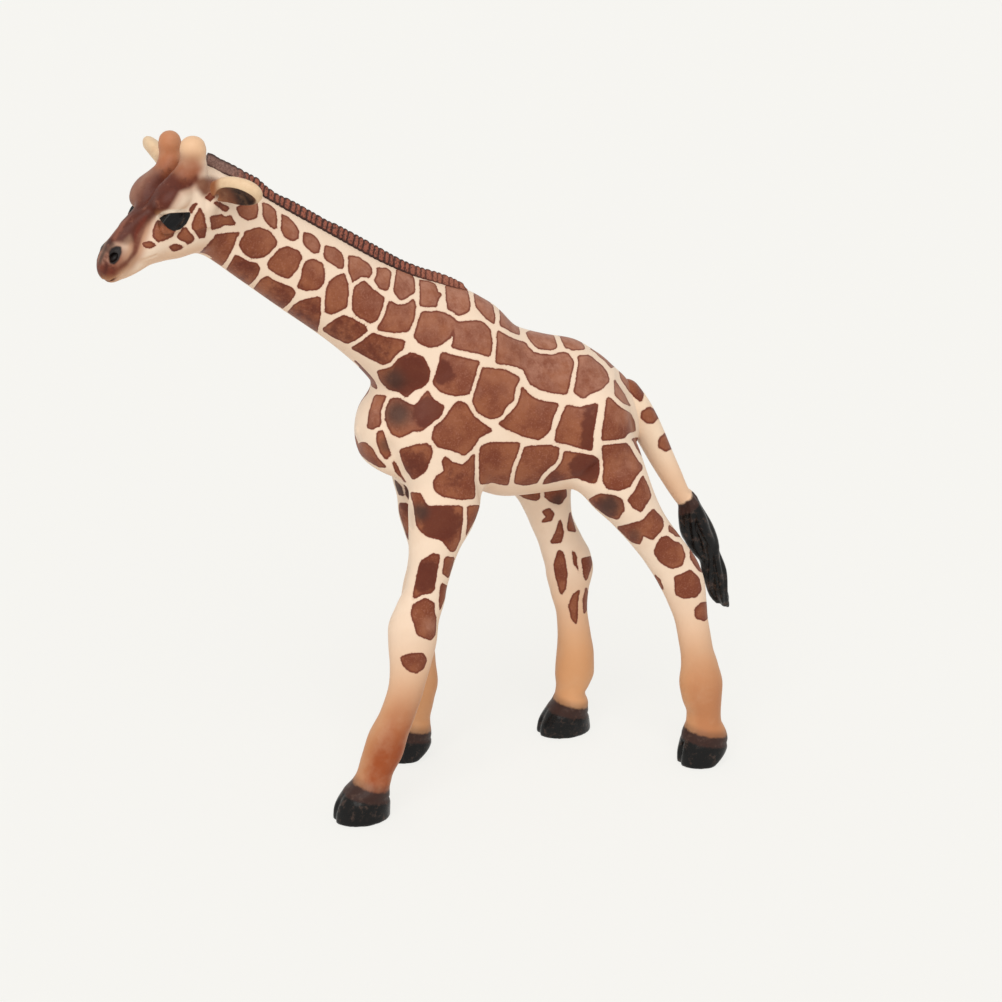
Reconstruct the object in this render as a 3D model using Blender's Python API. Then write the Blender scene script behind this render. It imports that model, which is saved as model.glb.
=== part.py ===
"""A toy giraffe, moulded in pieces that are pegged together and painted.

Metres, +Z up. The animal faces -X, its left side is -Y, and it stands on Z = 0.
The finished figure's box is centred on the origin in X and Y.
"""

from dataclasses import dataclass
from math import cos, pi, radians, sin

import bmesh
import bpy
from mathutils import Matrix, Vector

# Fits
SEAM_GAP = 0.0003  # between two pieces that meet face to face
FIT_GAP = 0.0003  # around a peg, pin, stem or strip in its seat
OVERRUN = 0.0006  # how far a cutter or a joined peg runs past a face

# Torso
LEG_HEIGHT = 0.065  # floor to the level seam where a leg meets the torso
BARREL_RISE = 0.020  # leg seam to the barrel's datum line
BARREL_LENGTH = 0.064
BARREL_DEPTH = 0.044
BARREL_WIDTH = 0.027
WALL = 0.0028  # PVC between the barrel's hollow and its skin
SHOULDER_SHARE = -0.097  # the shoulder's middle, along the barrel from its datum plane
HIP_SHARE = 0.453  # the hip's middle, the same way
SHOULDER_SPREAD = 0.020  # between the middles of the front legs' tops
HIP_SPREAD = 0.0195

# Torso pins
PIN_RADIUS = 0.0013
PIN_LENGTH = 0.004

# Legs
FORELEG_DEPTH = 0.0154  # front to back at the leg seam
FORELEG_WIDTH = 0.0108
HINDLEG_DEPTH = 0.0156
HINDLEG_WIDTH = 0.0116
TRACK_WIDTH = 0.026  # between the middles of the left and the right soles
FRONT_LEFT_TOP_SHARE = -0.030  # the leg's top along the barrel, from the shoulder's middle
FRONT_RIGHT_TOP_SHARE = 0.034
REAR_LEFT_TOP_SHARE = 0.091  # the same, from the hip's middle
REAR_RIGHT_TOP_SHARE = -0.105
FRONT_LEFT_REACH = -0.0203  # the sole's middle, from the leg's top
FRONT_RIGHT_REACH = -0.0053
REAR_LEFT_REACH = 0.0190
REAR_RIGHT_REACH = 0.0075
LEG_PEG_DEPTH = 0.0066
LEG_PEG_WIDTH = 0.0048
LEG_PEG_LENGTH = 0.0065
CLEFT_WIDTH = 0.0010
CLEFT_DEPTH = 0.0030
CLEFT_HEIGHT = 0.0100

# Neck and mane
NECK_LENGTH = 0.067  # from inside the withers to the head seam
NECK_SLOPE = radians(35.6)
NECK_DEPTH = 0.0276
NECK_WIDTH = 0.0200
NECK_PEG_RADIUS = 0.0042
NECK_PEG_LENGTH = 0.009
MANE_WIDTH = 0.0026
MANE_HEIGHT = 0.0021  # above the neck
MANE_SEAT = 0.0010  # depth of its groove
MANE_RIB_PITCH = 0.0012

# Head and ears
HEAD_LENGTH = 0.0284
HEAD_RISE = 0.0056  # the head's middle line above the neck's
HEAD_DEPTH = 0.0138
HEAD_WIDTH = 0.0128
HEAD_TURN = radians(22.7)  # towards the animal's left
HEAD_DROOP = radians(26.0)
SPIGOT_RADIUS = 0.0032
SPIGOT_LENGTH = 0.0065
BROW_LENGTH = 0.0078
BROW_WIDTH = 0.0054
BROW_SPREAD = 0.0086
OSSICONE_LENGTH = 0.0120
OSSICONE_RADIUS = 0.0027
OSSICONE_SPREAD = 0.0084
EAR_LENGTH = 0.0138
EAR_WIDTH = 0.0070
EAR_THICKNESS = 0.0030
EAR_SPREAD = 0.0104
EAR_LEFT_LIFT = radians(1)
EAR_RIGHT_LIFT = radians(22)
EAR_SWEEP = radians(15)  # how far an ear points back
STEM_RADIUS = 0.0010
STEM_LENGTH = 0.0022

# Tail
TAIL_LENGTH = 0.060
TAIL_WIDTH = 0.0062
TAIL_PEG_RADIUS = 0.0017
TAIL_PEG_LENGTH = 0.006
TAIL_DROOP = radians(38)  # how far the root points below level

# Fineness of the lofts
TORSO_SIDES = 28
NECK_SIDES = 20
LEG_SIDES = 14
EAR_SIDES = 12
TAIL_SIDES = 12
PEG_SIDES = 12
CREASE_ANGLE = radians(35)

LEFT = -1
RIGHT = 1
SHOULDER_PLACE = BARREL_LENGTH * SHOULDER_SHARE
HIP_PLACE = BARREL_LENGTH * HIP_SHARE
DATUM = Vector((0, 0, LEG_HEIGHT + BARREL_RISE))
ALONG = Vector((1, 0, 0))
ACROSS = Vector((0, 1, 0))
UPWARD = Vector((0, 0, 1))

PATCH_BROWN = (0.202, 0.048, 0.026)
CREAM = (0.851, 0.672, 0.485)
MANE_BROWN = (0.075, 0.022, 0.013)
PEACH = (0.730, 0.352, 0.156)

# Barrel: place along it, middle above the datum, half depth, half width
BARREL_SHARES = (
    (-0.354, 0.000, 0.080, 0.130),
    (-0.323, 0.002, 0.178, 0.270),
    (-0.248, 0.020, 0.290, 0.380),
    (-0.130, 0.078, 0.416, 0.455),
    (0.000, 0.140, 0.488, 0.475),
    (0.100, 0.098, 0.494, 0.492),
    (0.205, 0.012, 0.430, 0.500),
    (0.312, -0.016, 0.400, 0.494),
    (0.410, -0.030, 0.378, 0.482),
    (0.500, -0.070, 0.334, 0.450),
    (0.580, -0.098, 0.264, 0.390),
    (0.640, -0.105, 0.185, 0.300),
    (0.680, -0.105, 0.090, 0.160),
)
HOLLOW_FIRST_SHARE = 0.060
HOLLOW_LAST_SHARE = 0.300
HOLLOW_STEPS = 5
PIN_FRONT_SHARE = -0.110
PIN_FRONT_RISE_SHARE = 0.020
PIN_REAR_SHARE = 0.550
PIN_REAR_RISE_SHARE = -0.060

# Shoulder and thigh masses: height over the barrel's depth, place from the top
# of the leg (0) to the middle of the joint (1), inward place, depth and width
SHOULDER_SHARES = (
    (0.00, 0.0, 0.00, 0.47, 0.50),
    (0.11, 0.5, 0.04, 0.54, 0.54),
    (0.25, 0.8, 0.10, 0.56, 0.55),
    (0.39, 0.8, 0.18, 0.50, 0.52),
    (0.52, 1.0, 0.22, 0.40, 0.40),
    (0.62, 1.0, 0.27, 0.24, 0.24),
)
THIGH_SHARES = (
    (0.00, 0.0, 0.00, 0.50, 0.50),
    (0.11, 0.34, 0.02, 0.570, 0.53),
    (0.25, 0.75, 0.06, 0.600, 0.53),
    (0.39, 0.9, 0.14, 0.56, 0.49),
    (0.51, 1.0, 0.22, 0.42, 0.38),
    (0.59, 1.0, 0.27, 0.24, 0.22),
)

# Legs: height, travel from the top (0) to the sole (1), half depth, half width
FRONT_LEFT_SHARES = (
    (0.000, 1.000, 0.393, 0.455),
    (0.038, 0.990, 0.390, 0.455),
    (0.098, 0.940, 0.350, 0.425),
    (0.123, 0.900, 0.305, 0.400),
    (0.154, 0.826, 0.273, 0.343),
    (0.215, 0.731, 0.299, 0.361),
    (0.285, 0.657, 0.292, 0.370),
    (0.370, 0.524, 0.270, 0.306),
    (0.446, 0.435, 0.268, 0.296),
    (0.523, 0.380, 0.300, 0.324),
    (0.600, 0.352, 0.348, 0.389),
    (0.662, 0.336, 0.362, 0.417),
    (0.738, 0.264, 0.334, 0.370),
    (0.800, 0.200, 0.322, 0.361),
    (0.862, 0.150, 0.342, 0.380),
    (0.923, 0.095, 0.400, 0.435),
    (1.000, 0.000, 0.500, 0.500),
)
FRONT_RIGHT_SHARES = (
    (0.000, 1.000, 0.390, 0.455),
    (0.038, 0.980, 0.383, 0.455),
    (0.098, 0.900, 0.344, 0.425),
    (0.123, 0.824, 0.305, 0.400),
    (0.154, 0.745, 0.273, 0.343),
    (0.215, 0.627, 0.292, 0.361),
    (0.285, 0.450, 0.292, 0.370),
    (0.370, 0.470, 0.263, 0.306),
    (0.446, 0.510, 0.256, 0.296),
    (0.523, 0.510, 0.279, 0.324),
    (0.600, 0.440, 0.320, 0.389),
    (0.662, 0.360, 0.330, 0.417),
    (0.738, 0.120, 0.305, 0.370),
    (0.800, 0.000, 0.299, 0.361),
    (0.862, -0.060, 0.312, 0.380),
    (0.923, 0.000, 0.366, 0.435),
    (1.000, 0.000, 0.470, 0.500),
)
REAR_LEFT_SHARES = (
    (0.000, 0.985, 0.370, 0.422),
    (0.038, 0.985, 0.380, 0.422),
    (0.095, 1.010, 0.362, 0.400),
    (0.123, 1.012, 0.325, 0.380),
    (0.154, 1.010, 0.270, 0.328),
    (0.185, 1.020, 0.263, 0.315),
    (0.238, 1.010, 0.298, 0.336),
    (0.300, 0.997, 0.327, 0.353),
    (0.369, 0.968, 0.298, 0.310),
    (0.438, 0.926, 0.280, 0.284),
    (0.523, 0.875, 0.290, 0.284),
    (0.615, 0.800, 0.325, 0.310),
    (0.692, 0.730, 0.365, 0.336),
    (0.769, 0.595, 0.375, 0.345),
    (0.846, 0.400, 0.390, 0.375),
    (0.923, 0.190, 0.425, 0.430),
    (1.000, 0.000, 0.500, 0.500),
)
REAR_RIGHT_SHARES = (
    (0.000, 0.955, 0.391, 0.422),
    (0.038, 0.985, 0.385, 0.422),
    (0.092, 1.135, 0.330, 0.400),
    (0.123, 1.240, 0.285, 0.380),
    (0.154, 1.267, 0.253, 0.328),
    (0.185, 1.280, 0.256, 0.315),
    (0.231, 1.327, 0.301, 0.336),
    (0.308, 1.327, 0.285, 0.353),
    (0.385, 1.280, 0.254, 0.310),
    (0.469, 1.195, 0.238, 0.284),
    (0.562, 1.115, 0.288, 0.293),
    (0.646, 1.070, 0.355, 0.336),
    (0.708, 0.965, 0.390, 0.345),
    (0.769, 0.710, 0.380, 0.345),
    (0.846, 0.433, 0.378, 0.370),
    (0.923, 0.207, 0.410, 0.422),
    (1.000, 0.000, 0.500, 0.500),
)

# Neck: place along it, rise, half depth and half width; it starts in the torso
NECK_SHARES = (
    (-0.100, 0.000, 0.420, 0.480),
    (0.000, 0.000, 0.535, 0.545),
    (0.100, 0.000, 0.530, 0.525),
    (0.187, 0.000, 0.494, 0.490),
    (0.321, 0.000, 0.402, 0.418),
    (0.465, 0.006, 0.356, 0.368),
    (0.628, 0.008, 0.334, 0.330),
    (0.795, 0.007, 0.311, 0.302),
    (0.900, 0.008, 0.303, 0.288),
)
NECK_ROOT_RISE_SHARE = 0.270
NECK_SEAM_SHARE = 0.321
HEAD_SEAM_SHARE = 0.982
HEAD_SEAM_RISE_SHARE = 0.010
HEAD_SEAM_DEPTH_SHARE = 0.325
HEAD_SEAM_WIDTH_SHARE = 0.272
MANE_FIRST_SHARE = 0.115
MANE_LOW_SHARE = 0.35
MANE_GROWTH_SHARE = 0.40
MANE_DIP_SHARE = 0.80
MANE_TAPER_SHARE = 0.70

# Head: place from the seam (0) to the nose (1), rise over the head's depth,
# half depth and half width
HEAD_SHARES = (
    (0.053, -0.246, 0.652, 0.430),
    (0.176, -0.210, 0.590, 0.461),
    (0.317, -0.200, 0.545, 0.500),
    (0.423, -0.185, 0.500, 0.484),
    (0.546, -0.120, 0.456, 0.375),
    (0.687, -0.065, 0.382, 0.300),
    (0.792, -0.060, 0.314, 0.270),
    (0.875, -0.080, 0.256, 0.262),
    (0.945, -0.105, 0.190, 0.205),
    (0.985, -0.120, 0.090, 0.104),
)
HEAD_SQUARE_SHARE = 0.200  # from here on the rings are square to the head
BROW_PLACE_SHARE = 0.343
BROW_RISE_SHARE = 0.280
OSSICONE_PLACE_SHARE = 0.123
OSSICONE_RISE_SHARE = 0.094
OSSICONE_SHARES = (
    (0.00, 1.20),
    (0.30, 1.00),
    (0.50, 0.84),
    (0.70, 0.90),
    (0.86, 1.00),
    (0.95, 0.80),
    (1.00, 0.35),
)
EAR_PLACE_SHARE = 0.028
EAR_RISE_SHARE = 0.120
EAR_SHARES = (
    (0.00, 0.28, 0.55),
    (0.12, 0.36, 0.60),
    (0.32, 0.50, 0.55),
    (0.55, 0.48, 0.42),
    (0.78, 0.32, 0.32),
    (0.93, 0.16, 0.22),
    (1.00, 0.04, 0.08),
)

# Tail: place back from its root, drop, half thickness; the tuft begins at 0.5
TAIL_PLACE_SHARE = 0.625
TAIL_RISE_SHARE = 0.005
TAIL_SHARES = (
    (0.000, 0.000, 0.50),
    (0.040, 0.038, 0.52),
    (0.092, 0.130, 0.44),
    (0.151, 0.258, 0.37),
    (0.197, 0.385, 0.35),
    (0.230, 0.452, 0.34),
    (0.257, 0.492, 0.47),
    (0.303, 0.600, 0.51),
    (0.350, 0.720, 0.40),
    (0.387, 0.830, 0.28),
    (0.410, 0.880, 0.10),
)
TAIL_DRIFT_SHARE = -0.03


@dataclass(frozen=True)
class Leg:
    """One leg: where its top is, how far its sole travels, and its shape."""

    side: int
    top: float
    reach: float
    spread: float
    depth: float
    width: float
    shares: tuple

    def middle(self, height_share, travel_share):
        """The leg's middle at a share of its height."""
        outward = self.spread + (TRACK_WIDTH - self.spread) * (1 - height_share)
        x = self.top + self.reach * travel_share
        return Vector((x, self.side * outward / 2, LEG_HEIGHT * height_share))

    def crown(self):
        """The middle of the leg's top."""
        return self.middle(1, 0)


LEGS = {
    "front_left_leg": Leg(
        side=LEFT,
        top=SHOULDER_PLACE + BARREL_LENGTH * FRONT_LEFT_TOP_SHARE,
        reach=FRONT_LEFT_REACH,
        spread=SHOULDER_SPREAD,
        depth=FORELEG_DEPTH,
        width=FORELEG_WIDTH,
        shares=FRONT_LEFT_SHARES,
    ),
    "front_right_leg": Leg(
        side=RIGHT,
        top=SHOULDER_PLACE + BARREL_LENGTH * FRONT_RIGHT_TOP_SHARE,
        reach=FRONT_RIGHT_REACH,
        spread=SHOULDER_SPREAD,
        depth=FORELEG_DEPTH,
        width=FORELEG_WIDTH,
        shares=FRONT_RIGHT_SHARES,
    ),
    "rear_left_leg": Leg(
        side=LEFT,
        top=HIP_PLACE + BARREL_LENGTH * REAR_LEFT_TOP_SHARE,
        reach=REAR_LEFT_REACH,
        spread=HIP_SPREAD,
        depth=HINDLEG_DEPTH,
        width=HINDLEG_WIDTH,
        shares=REAR_LEFT_SHARES,
    ),
    "rear_right_leg": Leg(
        side=RIGHT,
        top=HIP_PLACE + BARREL_LENGTH * REAR_RIGHT_TOP_SHARE,
        reach=REAR_RIGHT_REACH,
        spread=HIP_SPREAD,
        depth=HINDLEG_DEPTH,
        width=HINDLEG_WIDTH,
        shares=REAR_RIGHT_SHARES,
    ),
}


def clear_scene():
    """Remove what the scene holds."""
    for item in list(bpy.data.objects):
        bpy.data.objects.remove(item, do_unlink=True)


def material(name, colour, roughness):
    """A painted PVC finish."""
    made = bpy.data.materials.new(name)
    made.use_nodes = True
    shader = made.node_tree.nodes["Principled BSDF"]
    shader.inputs["Base Color"].default_value = (*colour, 1)
    shader.inputs["Roughness"].default_value = roughness
    shader.inputs["Metallic"].default_value = 0
    return made


def smoothed(rows, steps):
    """Rows of shares with more rows between them, on a Catmull-Rom curve."""
    made = []
    last = len(rows) - 1
    for i in range(last):
        near = [Vector(rows[i]), Vector(rows[i + 1])]
        before = Vector(rows[i - 1]) if i > 0 else 2 * near[0] - near[1]
        after = Vector(rows[i + 2]) if i + 2 <= last else 2 * near[1] - near[0]
        for step in range(steps):
            t = step / steps
            first = 2 * near[0] + (near[1] - before) * t
            second = (2 * before - 5 * near[0] + 4 * near[1] - after) * t**2
            third = (3 * near[0] - before - 3 * near[1] + after) * t**3
            made.append(tuple((first + second + third) / 2))
    made.append(tuple(rows[last]))
    return made


def ring(middle, wide, tall, half_wide, half_tall, sides):
    """An elliptic ring of points in the plane of two unit vectors."""
    points = []
    for side in range(sides):
        angle = 2 * pi * side / sides
        points.append(
            middle + wide * half_wide * cos(angle) + tall * half_tall * sin(angle)
        )
    return points


def mesh_object(name, bm):
    """An object from a mesh under construction, with its faces outward."""
    bmesh.ops.recalc_face_normals(bm, faces=bm.faces)
    mesh = bpy.data.meshes.new(name)
    bm.to_mesh(mesh)
    bm.free()
    made = bpy.data.objects.new(name, mesh)
    bpy.context.scene.collection.objects.link(made)
    return made


def loft(name, rings):
    """A closed body through rings of points, bridged one to the next."""
    bm = bmesh.new()
    loops = []
    for points in rings:
        corners = [bm.verts.new(point) for point in points]
        edges = [
            bm.edges.new((corners[i - 1], corners[i])) for i in range(len(corners))
        ]
        loops.append((corners, edges))
    for (_, first), (_, second) in zip(loops, loops[1:]):
        bmesh.ops.bridge_loops(bm, edges=first + second)
    bm.faces.new(loops[0][0])
    bm.faces.new(loops[-1][0])
    return mesh_object(name, bm)


def block(name, low, high):
    """A box between two corners."""
    bm = bmesh.new()
    size = high - low
    place = Matrix.Translation((low + high) / 2) @ Matrix.Diagonal((*size, 1))
    bmesh.ops.create_cube(bm, size=1, matrix=place)
    return mesh_object(name, bm)


def plug(name, base, direction, wide, half_wide, half_tall, length):
    """A straight oval peg that stands on a base point."""
    tall = direction.cross(wide).normalized()
    ends = (base, base + direction * length)
    return loft(name, [ring(end, wide, tall, half_wide, half_tall, PEG_SIDES) for end in ends])


def combine(target, tool, operation):
    """Join, cut or intersect one body with another, and drop the tool."""
    modifier = target.modifiers.new(operation.title(), "BOOLEAN")
    modifier.operation = operation
    modifier.object = tool
    modifier.solver = "EXACT"
    bpy.context.view_layer.update()
    graph = bpy.context.evaluated_depsgraph_get()
    result = bpy.data.meshes.new_from_object(target.evaluated_get(graph))
    target.modifiers.clear()
    target.data = result
    bpy.data.objects.remove(tool, do_unlink=True)


def join(target, *tools):
    """Make bodies one with the target."""
    for tool in tools:
        combine(target, tool, "UNION")


def cut(target, *tools):
    """Take bodies out of the target."""
    for tool in tools:
        combine(target, tool, "DIFFERENCE")


def leg_rings(leg):
    """Level rings from the sole to the leg's top."""
    rings = []
    for height, travel, depth, width in leg.shares:
        middle = leg.middle(height, travel)
        rings.append(ring(middle, ALONG, ACROSS, leg.depth * depth, leg.width * width, LEG_SIDES))
    return rings


def leg_peg(leg, gap):
    """The oval peg on a leg, or with a gap the socket that takes it."""
    return plug(
        "leg_peg",
        leg.crown() - UPWARD * OVERRUN,
        UPWARD,
        ALONG,
        LEG_PEG_DEPTH / 2 + gap,
        LEG_PEG_WIDTH / 2 + gap,
        LEG_PEG_LENGTH + OVERRUN + gap,
    )


def hoof_cleft(leg):
    """The notch between the two toes."""
    toe = leg.middle(0, 1) - ALONG * leg.depth * leg.shares[0][2]
    half = Vector((CLEFT_DEPTH, CLEFT_WIDTH / 2, CLEFT_HEIGHT / 2))
    return block("cleft", toe - half, toe + half)


def make_leg(leg):
    """A leg with its hoof and its peg."""
    made = loft("leg", leg_rings(leg))
    join(made, leg_peg(leg, 0))
    cut(made, hoof_cleft(leg))
    return made


def limb_mass(leg, place, spread, shares):
    """The shoulder or the thigh, from the leg seam up into the barrel."""
    rings = []
    for rise, travel, inward, depth, width in smoothed(shares, 2):
        x = leg.top + (place - leg.top) * travel
        y = leg.side * (spread / 2 - spread * inward)
        z = LEG_HEIGHT + SEAM_GAP + BARREL_DEPTH * rise
        middle = Vector((x, y, z))
        rings.append(ring(middle, ALONG, ACROSS, leg.depth * depth, leg.width * width, LEG_SIDES))
    return loft("limb_mass", rings)


def barrel_point(share, rise_share):
    """A point on the barrel's middle line."""
    return DATUM + ALONG * BARREL_LENGTH * share + UPWARD * BARREL_DEPTH * rise_share


def make_barrel():
    """The barrel's outer form."""
    rings = []
    for share, rise, depth, width in smoothed(BARREL_SHARES, 2):
        middle = barrel_point(share, rise)
        half_wide = BARREL_WIDTH * width
        half_tall = BARREL_DEPTH * depth
        rings.append(ring(middle, ACROSS, UPWARD, half_wide, half_tall, TORSO_SIDES))
    return loft("torso", rings)


def make_hollow():
    """The hollow of the barrel between the shoulders and the thighs."""
    rows = [
        row
        for row in smoothed(BARREL_SHARES, HOLLOW_STEPS)
        if HOLLOW_FIRST_SHARE <= row[0] <= HOLLOW_LAST_SHARE
    ]
    rings = []
    for share, rise, depth, width in rows:
        half_wide = BARREL_WIDTH * width - WALL
        half_tall = BARREL_DEPTH * depth - WALL
        middle = barrel_point(share, rise)
        rings.append(ring(middle, ACROSS, UPWARD, half_wide, half_tall, TORSO_SIDES))
    return loft("hollow", rings)


def neck_axis():
    """The neck's direction, and its upper side."""
    forward = Vector((-cos(NECK_SLOPE), 0, sin(NECK_SLOPE)))
    crest = Vector((sin(NECK_SLOPE), 0, cos(NECK_SLOPE)))
    return forward, crest


def neck_root():
    """The point inside the withers that the neck grows from."""
    return barrel_point(0, NECK_ROOT_RISE_SHARE)


def neck_point(share):
    """A point on the neck's middle line."""
    return neck_root() + neck_axis()[0] * NECK_LENGTH * share


def neck_ring(share, rise, depth, width):
    """A ring square to the neck."""
    crest = neck_axis()[1]
    middle = neck_point(share) + crest * NECK_DEPTH * rise
    return ring(middle, ACROSS, crest, NECK_WIDTH * width, NECK_DEPTH * depth, NECK_SIDES)


def neck_sizes(share):
    """The neck's rise, half depth and half width shares at a place along it."""
    rows = smoothed(NECK_SHARES, 4)
    for before, after in zip(rows, rows[1:]):
        if before[0] <= share <= after[0]:
            t = (share - before[0]) / (after[0] - before[0])
            return Vector(before).lerp(Vector(after), t)[1:]
    return rows[-1][1:]


def gap_share(length):
    """A short length as a share of the neck's."""
    return length / NECK_LENGTH


def neck_base_rings():
    """The part of the neck that the torso halves carry."""
    last = NECK_SEAM_SHARE - gap_share(SEAM_GAP)
    rows = [row for row in smoothed(NECK_SHARES, 2) if row[0] < last]
    rows.append((last, *neck_sizes(last)))
    return [neck_ring(*row) for row in rows]


def neck_peg(gap):
    """The round peg at the neck's base, or the socket that takes it."""
    forward = neck_axis()[0]
    base = neck_point(NECK_SEAM_SHARE) + forward * OVERRUN
    radius = NECK_PEG_RADIUS + gap
    return plug("neck_peg", base, -forward, ACROSS, radius, radius, NECK_PEG_LENGTH + OVERRUN + gap)


def head_axes():
    """The head's forward, leftward and upward directions."""
    forward = Vector(
        (
            -cos(HEAD_TURN) * cos(HEAD_DROOP),
            -sin(HEAD_TURN) * cos(HEAD_DROOP),
            -sin(HEAD_DROOP),
        )
    )
    leftward = Vector((sin(HEAD_TURN), -cos(HEAD_TURN), 0))
    return forward, leftward, forward.cross(leftward).normalized()


def head_seam():
    """The seam's middle, its forward normal, and its across and up vectors."""
    forward = (neck_axis()[0] + head_axes()[0]).normalized()
    across = forward.cross(UPWARD).normalized()
    middle = neck_point(HEAD_SEAM_SHARE) + neck_axis()[1] * NECK_DEPTH * HEAD_SEAM_RISE_SHARE
    return middle, forward, across, across.cross(forward).normalized()


def seam_ring(offset):
    """The ring where the neck meets the head."""
    middle, forward, across, up = head_seam()
    half_wide = NECK_WIDTH * HEAD_SEAM_WIDTH_SHARE
    half_tall = NECK_DEPTH * HEAD_SEAM_DEPTH_SHARE
    return ring(middle + forward * offset, across, up, half_wide, half_tall, NECK_SIDES)


def neck_rings():
    """The neck's rings from the torso seam to the head seam."""
    rows = [row for row in smoothed(NECK_SHARES, 2) if row[0] > NECK_SEAM_SHARE]
    rows.insert(0, (NECK_SEAM_SHARE, *neck_sizes(NECK_SEAM_SHARE)))
    return [neck_ring(*row) for row in rows] + [seam_ring(0)]


def spigot(gap):
    """The head's round spigot, or the socket in the neck that takes it."""
    middle, forward, across, _ = head_seam()
    radius = SPIGOT_RADIUS + gap
    base = middle + forward * (SEAM_GAP + OVERRUN)
    return plug("spigot", base, -forward, across, radius, radius, SPIGOT_LENGTH + OVERRUN + gap)


def head_base():
    """The start of the head's middle line."""
    return head_seam()[0] + head_axes()[2] * HEAD_RISE


def head_ring(share, rise, depth, width):
    """A ring of the head, turning from the seam's plane to the head's own."""
    forward, leftward, up = head_axes()
    _, _, seam_across, seam_up = head_seam()
    turned = min(1, share / HEAD_SQUARE_SHARE)
    wide = seam_across.lerp(-leftward, turned).normalized()
    tall = seam_up.lerp(up, turned).normalized()
    middle = head_base() + forward * HEAD_LENGTH * share + up * HEAD_DEPTH * rise
    return ring(middle, wide, tall, HEAD_WIDTH * width, HEAD_DEPTH * depth, NECK_SIDES)


def make_head():
    """Skull, muzzle and ossicones on a spigot, with sockets for the ears."""
    made = loft("head", [seam_ring(SEAM_GAP)] + [head_ring(*row) for row in HEAD_SHARES])
    join(made, spigot(0))
    for side in (LEFT, RIGHT):
        join(made, make_brow(side), make_ossicone(side))
    for side in (LEFT, RIGHT):
        cut(made, ear_blade(side, FIT_GAP), ear_stem(side, FIT_GAP))
    return made


def make_brow(side):
    """The bony ridge over one eye."""
    forward, leftward, up = head_axes()
    middle = head_base() + forward * HEAD_LENGTH * BROW_PLACE_SHARE
    middle = middle - leftward * side * BROW_SPREAD / 2 + up * HEAD_DEPTH * BROW_RISE_SHARE
    turn = Matrix((forward, leftward, up)).transposed().to_4x4()
    size = Matrix.Diagonal((BROW_LENGTH, BROW_WIDTH, BROW_WIDTH, 1))
    bm = bmesh.new()
    bmesh.ops.create_uvsphere(
        bm,
        u_segments=EAR_SIDES,
        v_segments=EAR_SIDES // 2,
        radius=0.5,
        matrix=Matrix.Translation(middle) @ turn @ size,
    )
    return mesh_object("brow", bm)


def make_ossicone(side):
    """One upright horn with a rounded knob."""
    forward, leftward, up = head_axes()
    foot = head_base() + forward * HEAD_LENGTH * OSSICONE_PLACE_SHARE
    foot = foot - leftward * side * OSSICONE_SPREAD / 2 + up * HEAD_DEPTH * OSSICONE_RISE_SHARE
    rings = []
    for share, radius in OSSICONE_SHARES:
        middle = foot + UPWARD * OSSICONE_LENGTH * share
        size = OSSICONE_RADIUS * radius
        rings.append(ring(middle, ALONG, ACROSS, size, size, EAR_SIDES))
    return loft("ossicone", rings)


def ear_root(side):
    """Where an ear leaves the head, and the way it points."""
    forward, leftward, up = head_axes()
    outward = -leftward * side
    base = head_base() + forward * HEAD_LENGTH * EAR_PLACE_SHARE
    base = base + up * HEAD_DEPTH * EAR_RISE_SHARE + outward * EAR_SPREAD / 2
    lift = EAR_LEFT_LIFT if side == LEFT else EAR_RIGHT_LIFT
    return base, outward * cos(EAR_SWEEP) * cos(lift) - forward * sin(EAR_SWEEP) + up * sin(lift)


def ear_stem(side, gap):
    """The stem that holds an ear, or its socket in the head."""
    base, outward = ear_root(side)
    outward.normalize()
    start = base + outward * (FIT_GAP + OVERRUN)
    wide = outward.cross(UPWARD).normalized()
    radius = STEM_RADIUS + gap
    return plug("stem", start, -outward, wide, radius, radius, STEM_LENGTH + FIT_GAP + OVERRUN + gap)


def ear_blade(side, gap):
    """The leaf of an ear, or with a gap the seat for it in the head."""
    base, outward = ear_root(side)
    wide = outward.cross(UPWARD).normalized()
    tall = wide.cross(outward).normalized()
    rings = []
    for share, width, thickness in EAR_SHARES:
        middle = base + outward * (FIT_GAP - gap + EAR_LENGTH * share)
        half_wide = EAR_THICKNESS * thickness + gap
        half_tall = EAR_WIDTH * width + gap
        rings.append(ring(middle, wide, tall, half_wide, half_tall, EAR_SIDES))
    return loft("ear", rings)


def make_ear(side):
    """A leaf-shaped ear on its stem."""
    made = ear_blade(side, 0)
    join(made, ear_stem(side, 0))
    return made


def crest_points():
    """The tops of the neck's rings, from the withers to the head seam."""
    crest = neck_axis()[1]
    rows = [row for row in smoothed(NECK_SHARES, 4) if row[0] > MANE_FIRST_SHARE]
    points = [neck_point(row[0]) + crest * NECK_DEPTH * (row[1] + row[2]) for row in rows]
    middle, _, _, up = head_seam()
    points.append(middle + up * NECK_DEPTH * HEAD_SEAM_DEPTH_SHARE)
    return points


def evenly_spaced(points, pitch):
    """Points at an even pitch along a run of points."""
    lengths = [(b - a).length for a, b in zip(points, points[1:])]
    count = round(sum(lengths) / pitch)
    made = []
    leg = 0
    passed = 0
    for step in range(count):
        target = sum(lengths) * step / count
        while passed + lengths[leg] < target:
            passed += lengths[leg]
            leg += 1
        made.append(points[leg].lerp(points[leg + 1], (target - passed) / lengths[leg]))
    return made


def mane_path():
    """The mane's points along the crest, two for each rib."""
    return evenly_spaced(crest_points(), MANE_RIB_PITCH / 2), neck_axis()[1]


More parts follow.
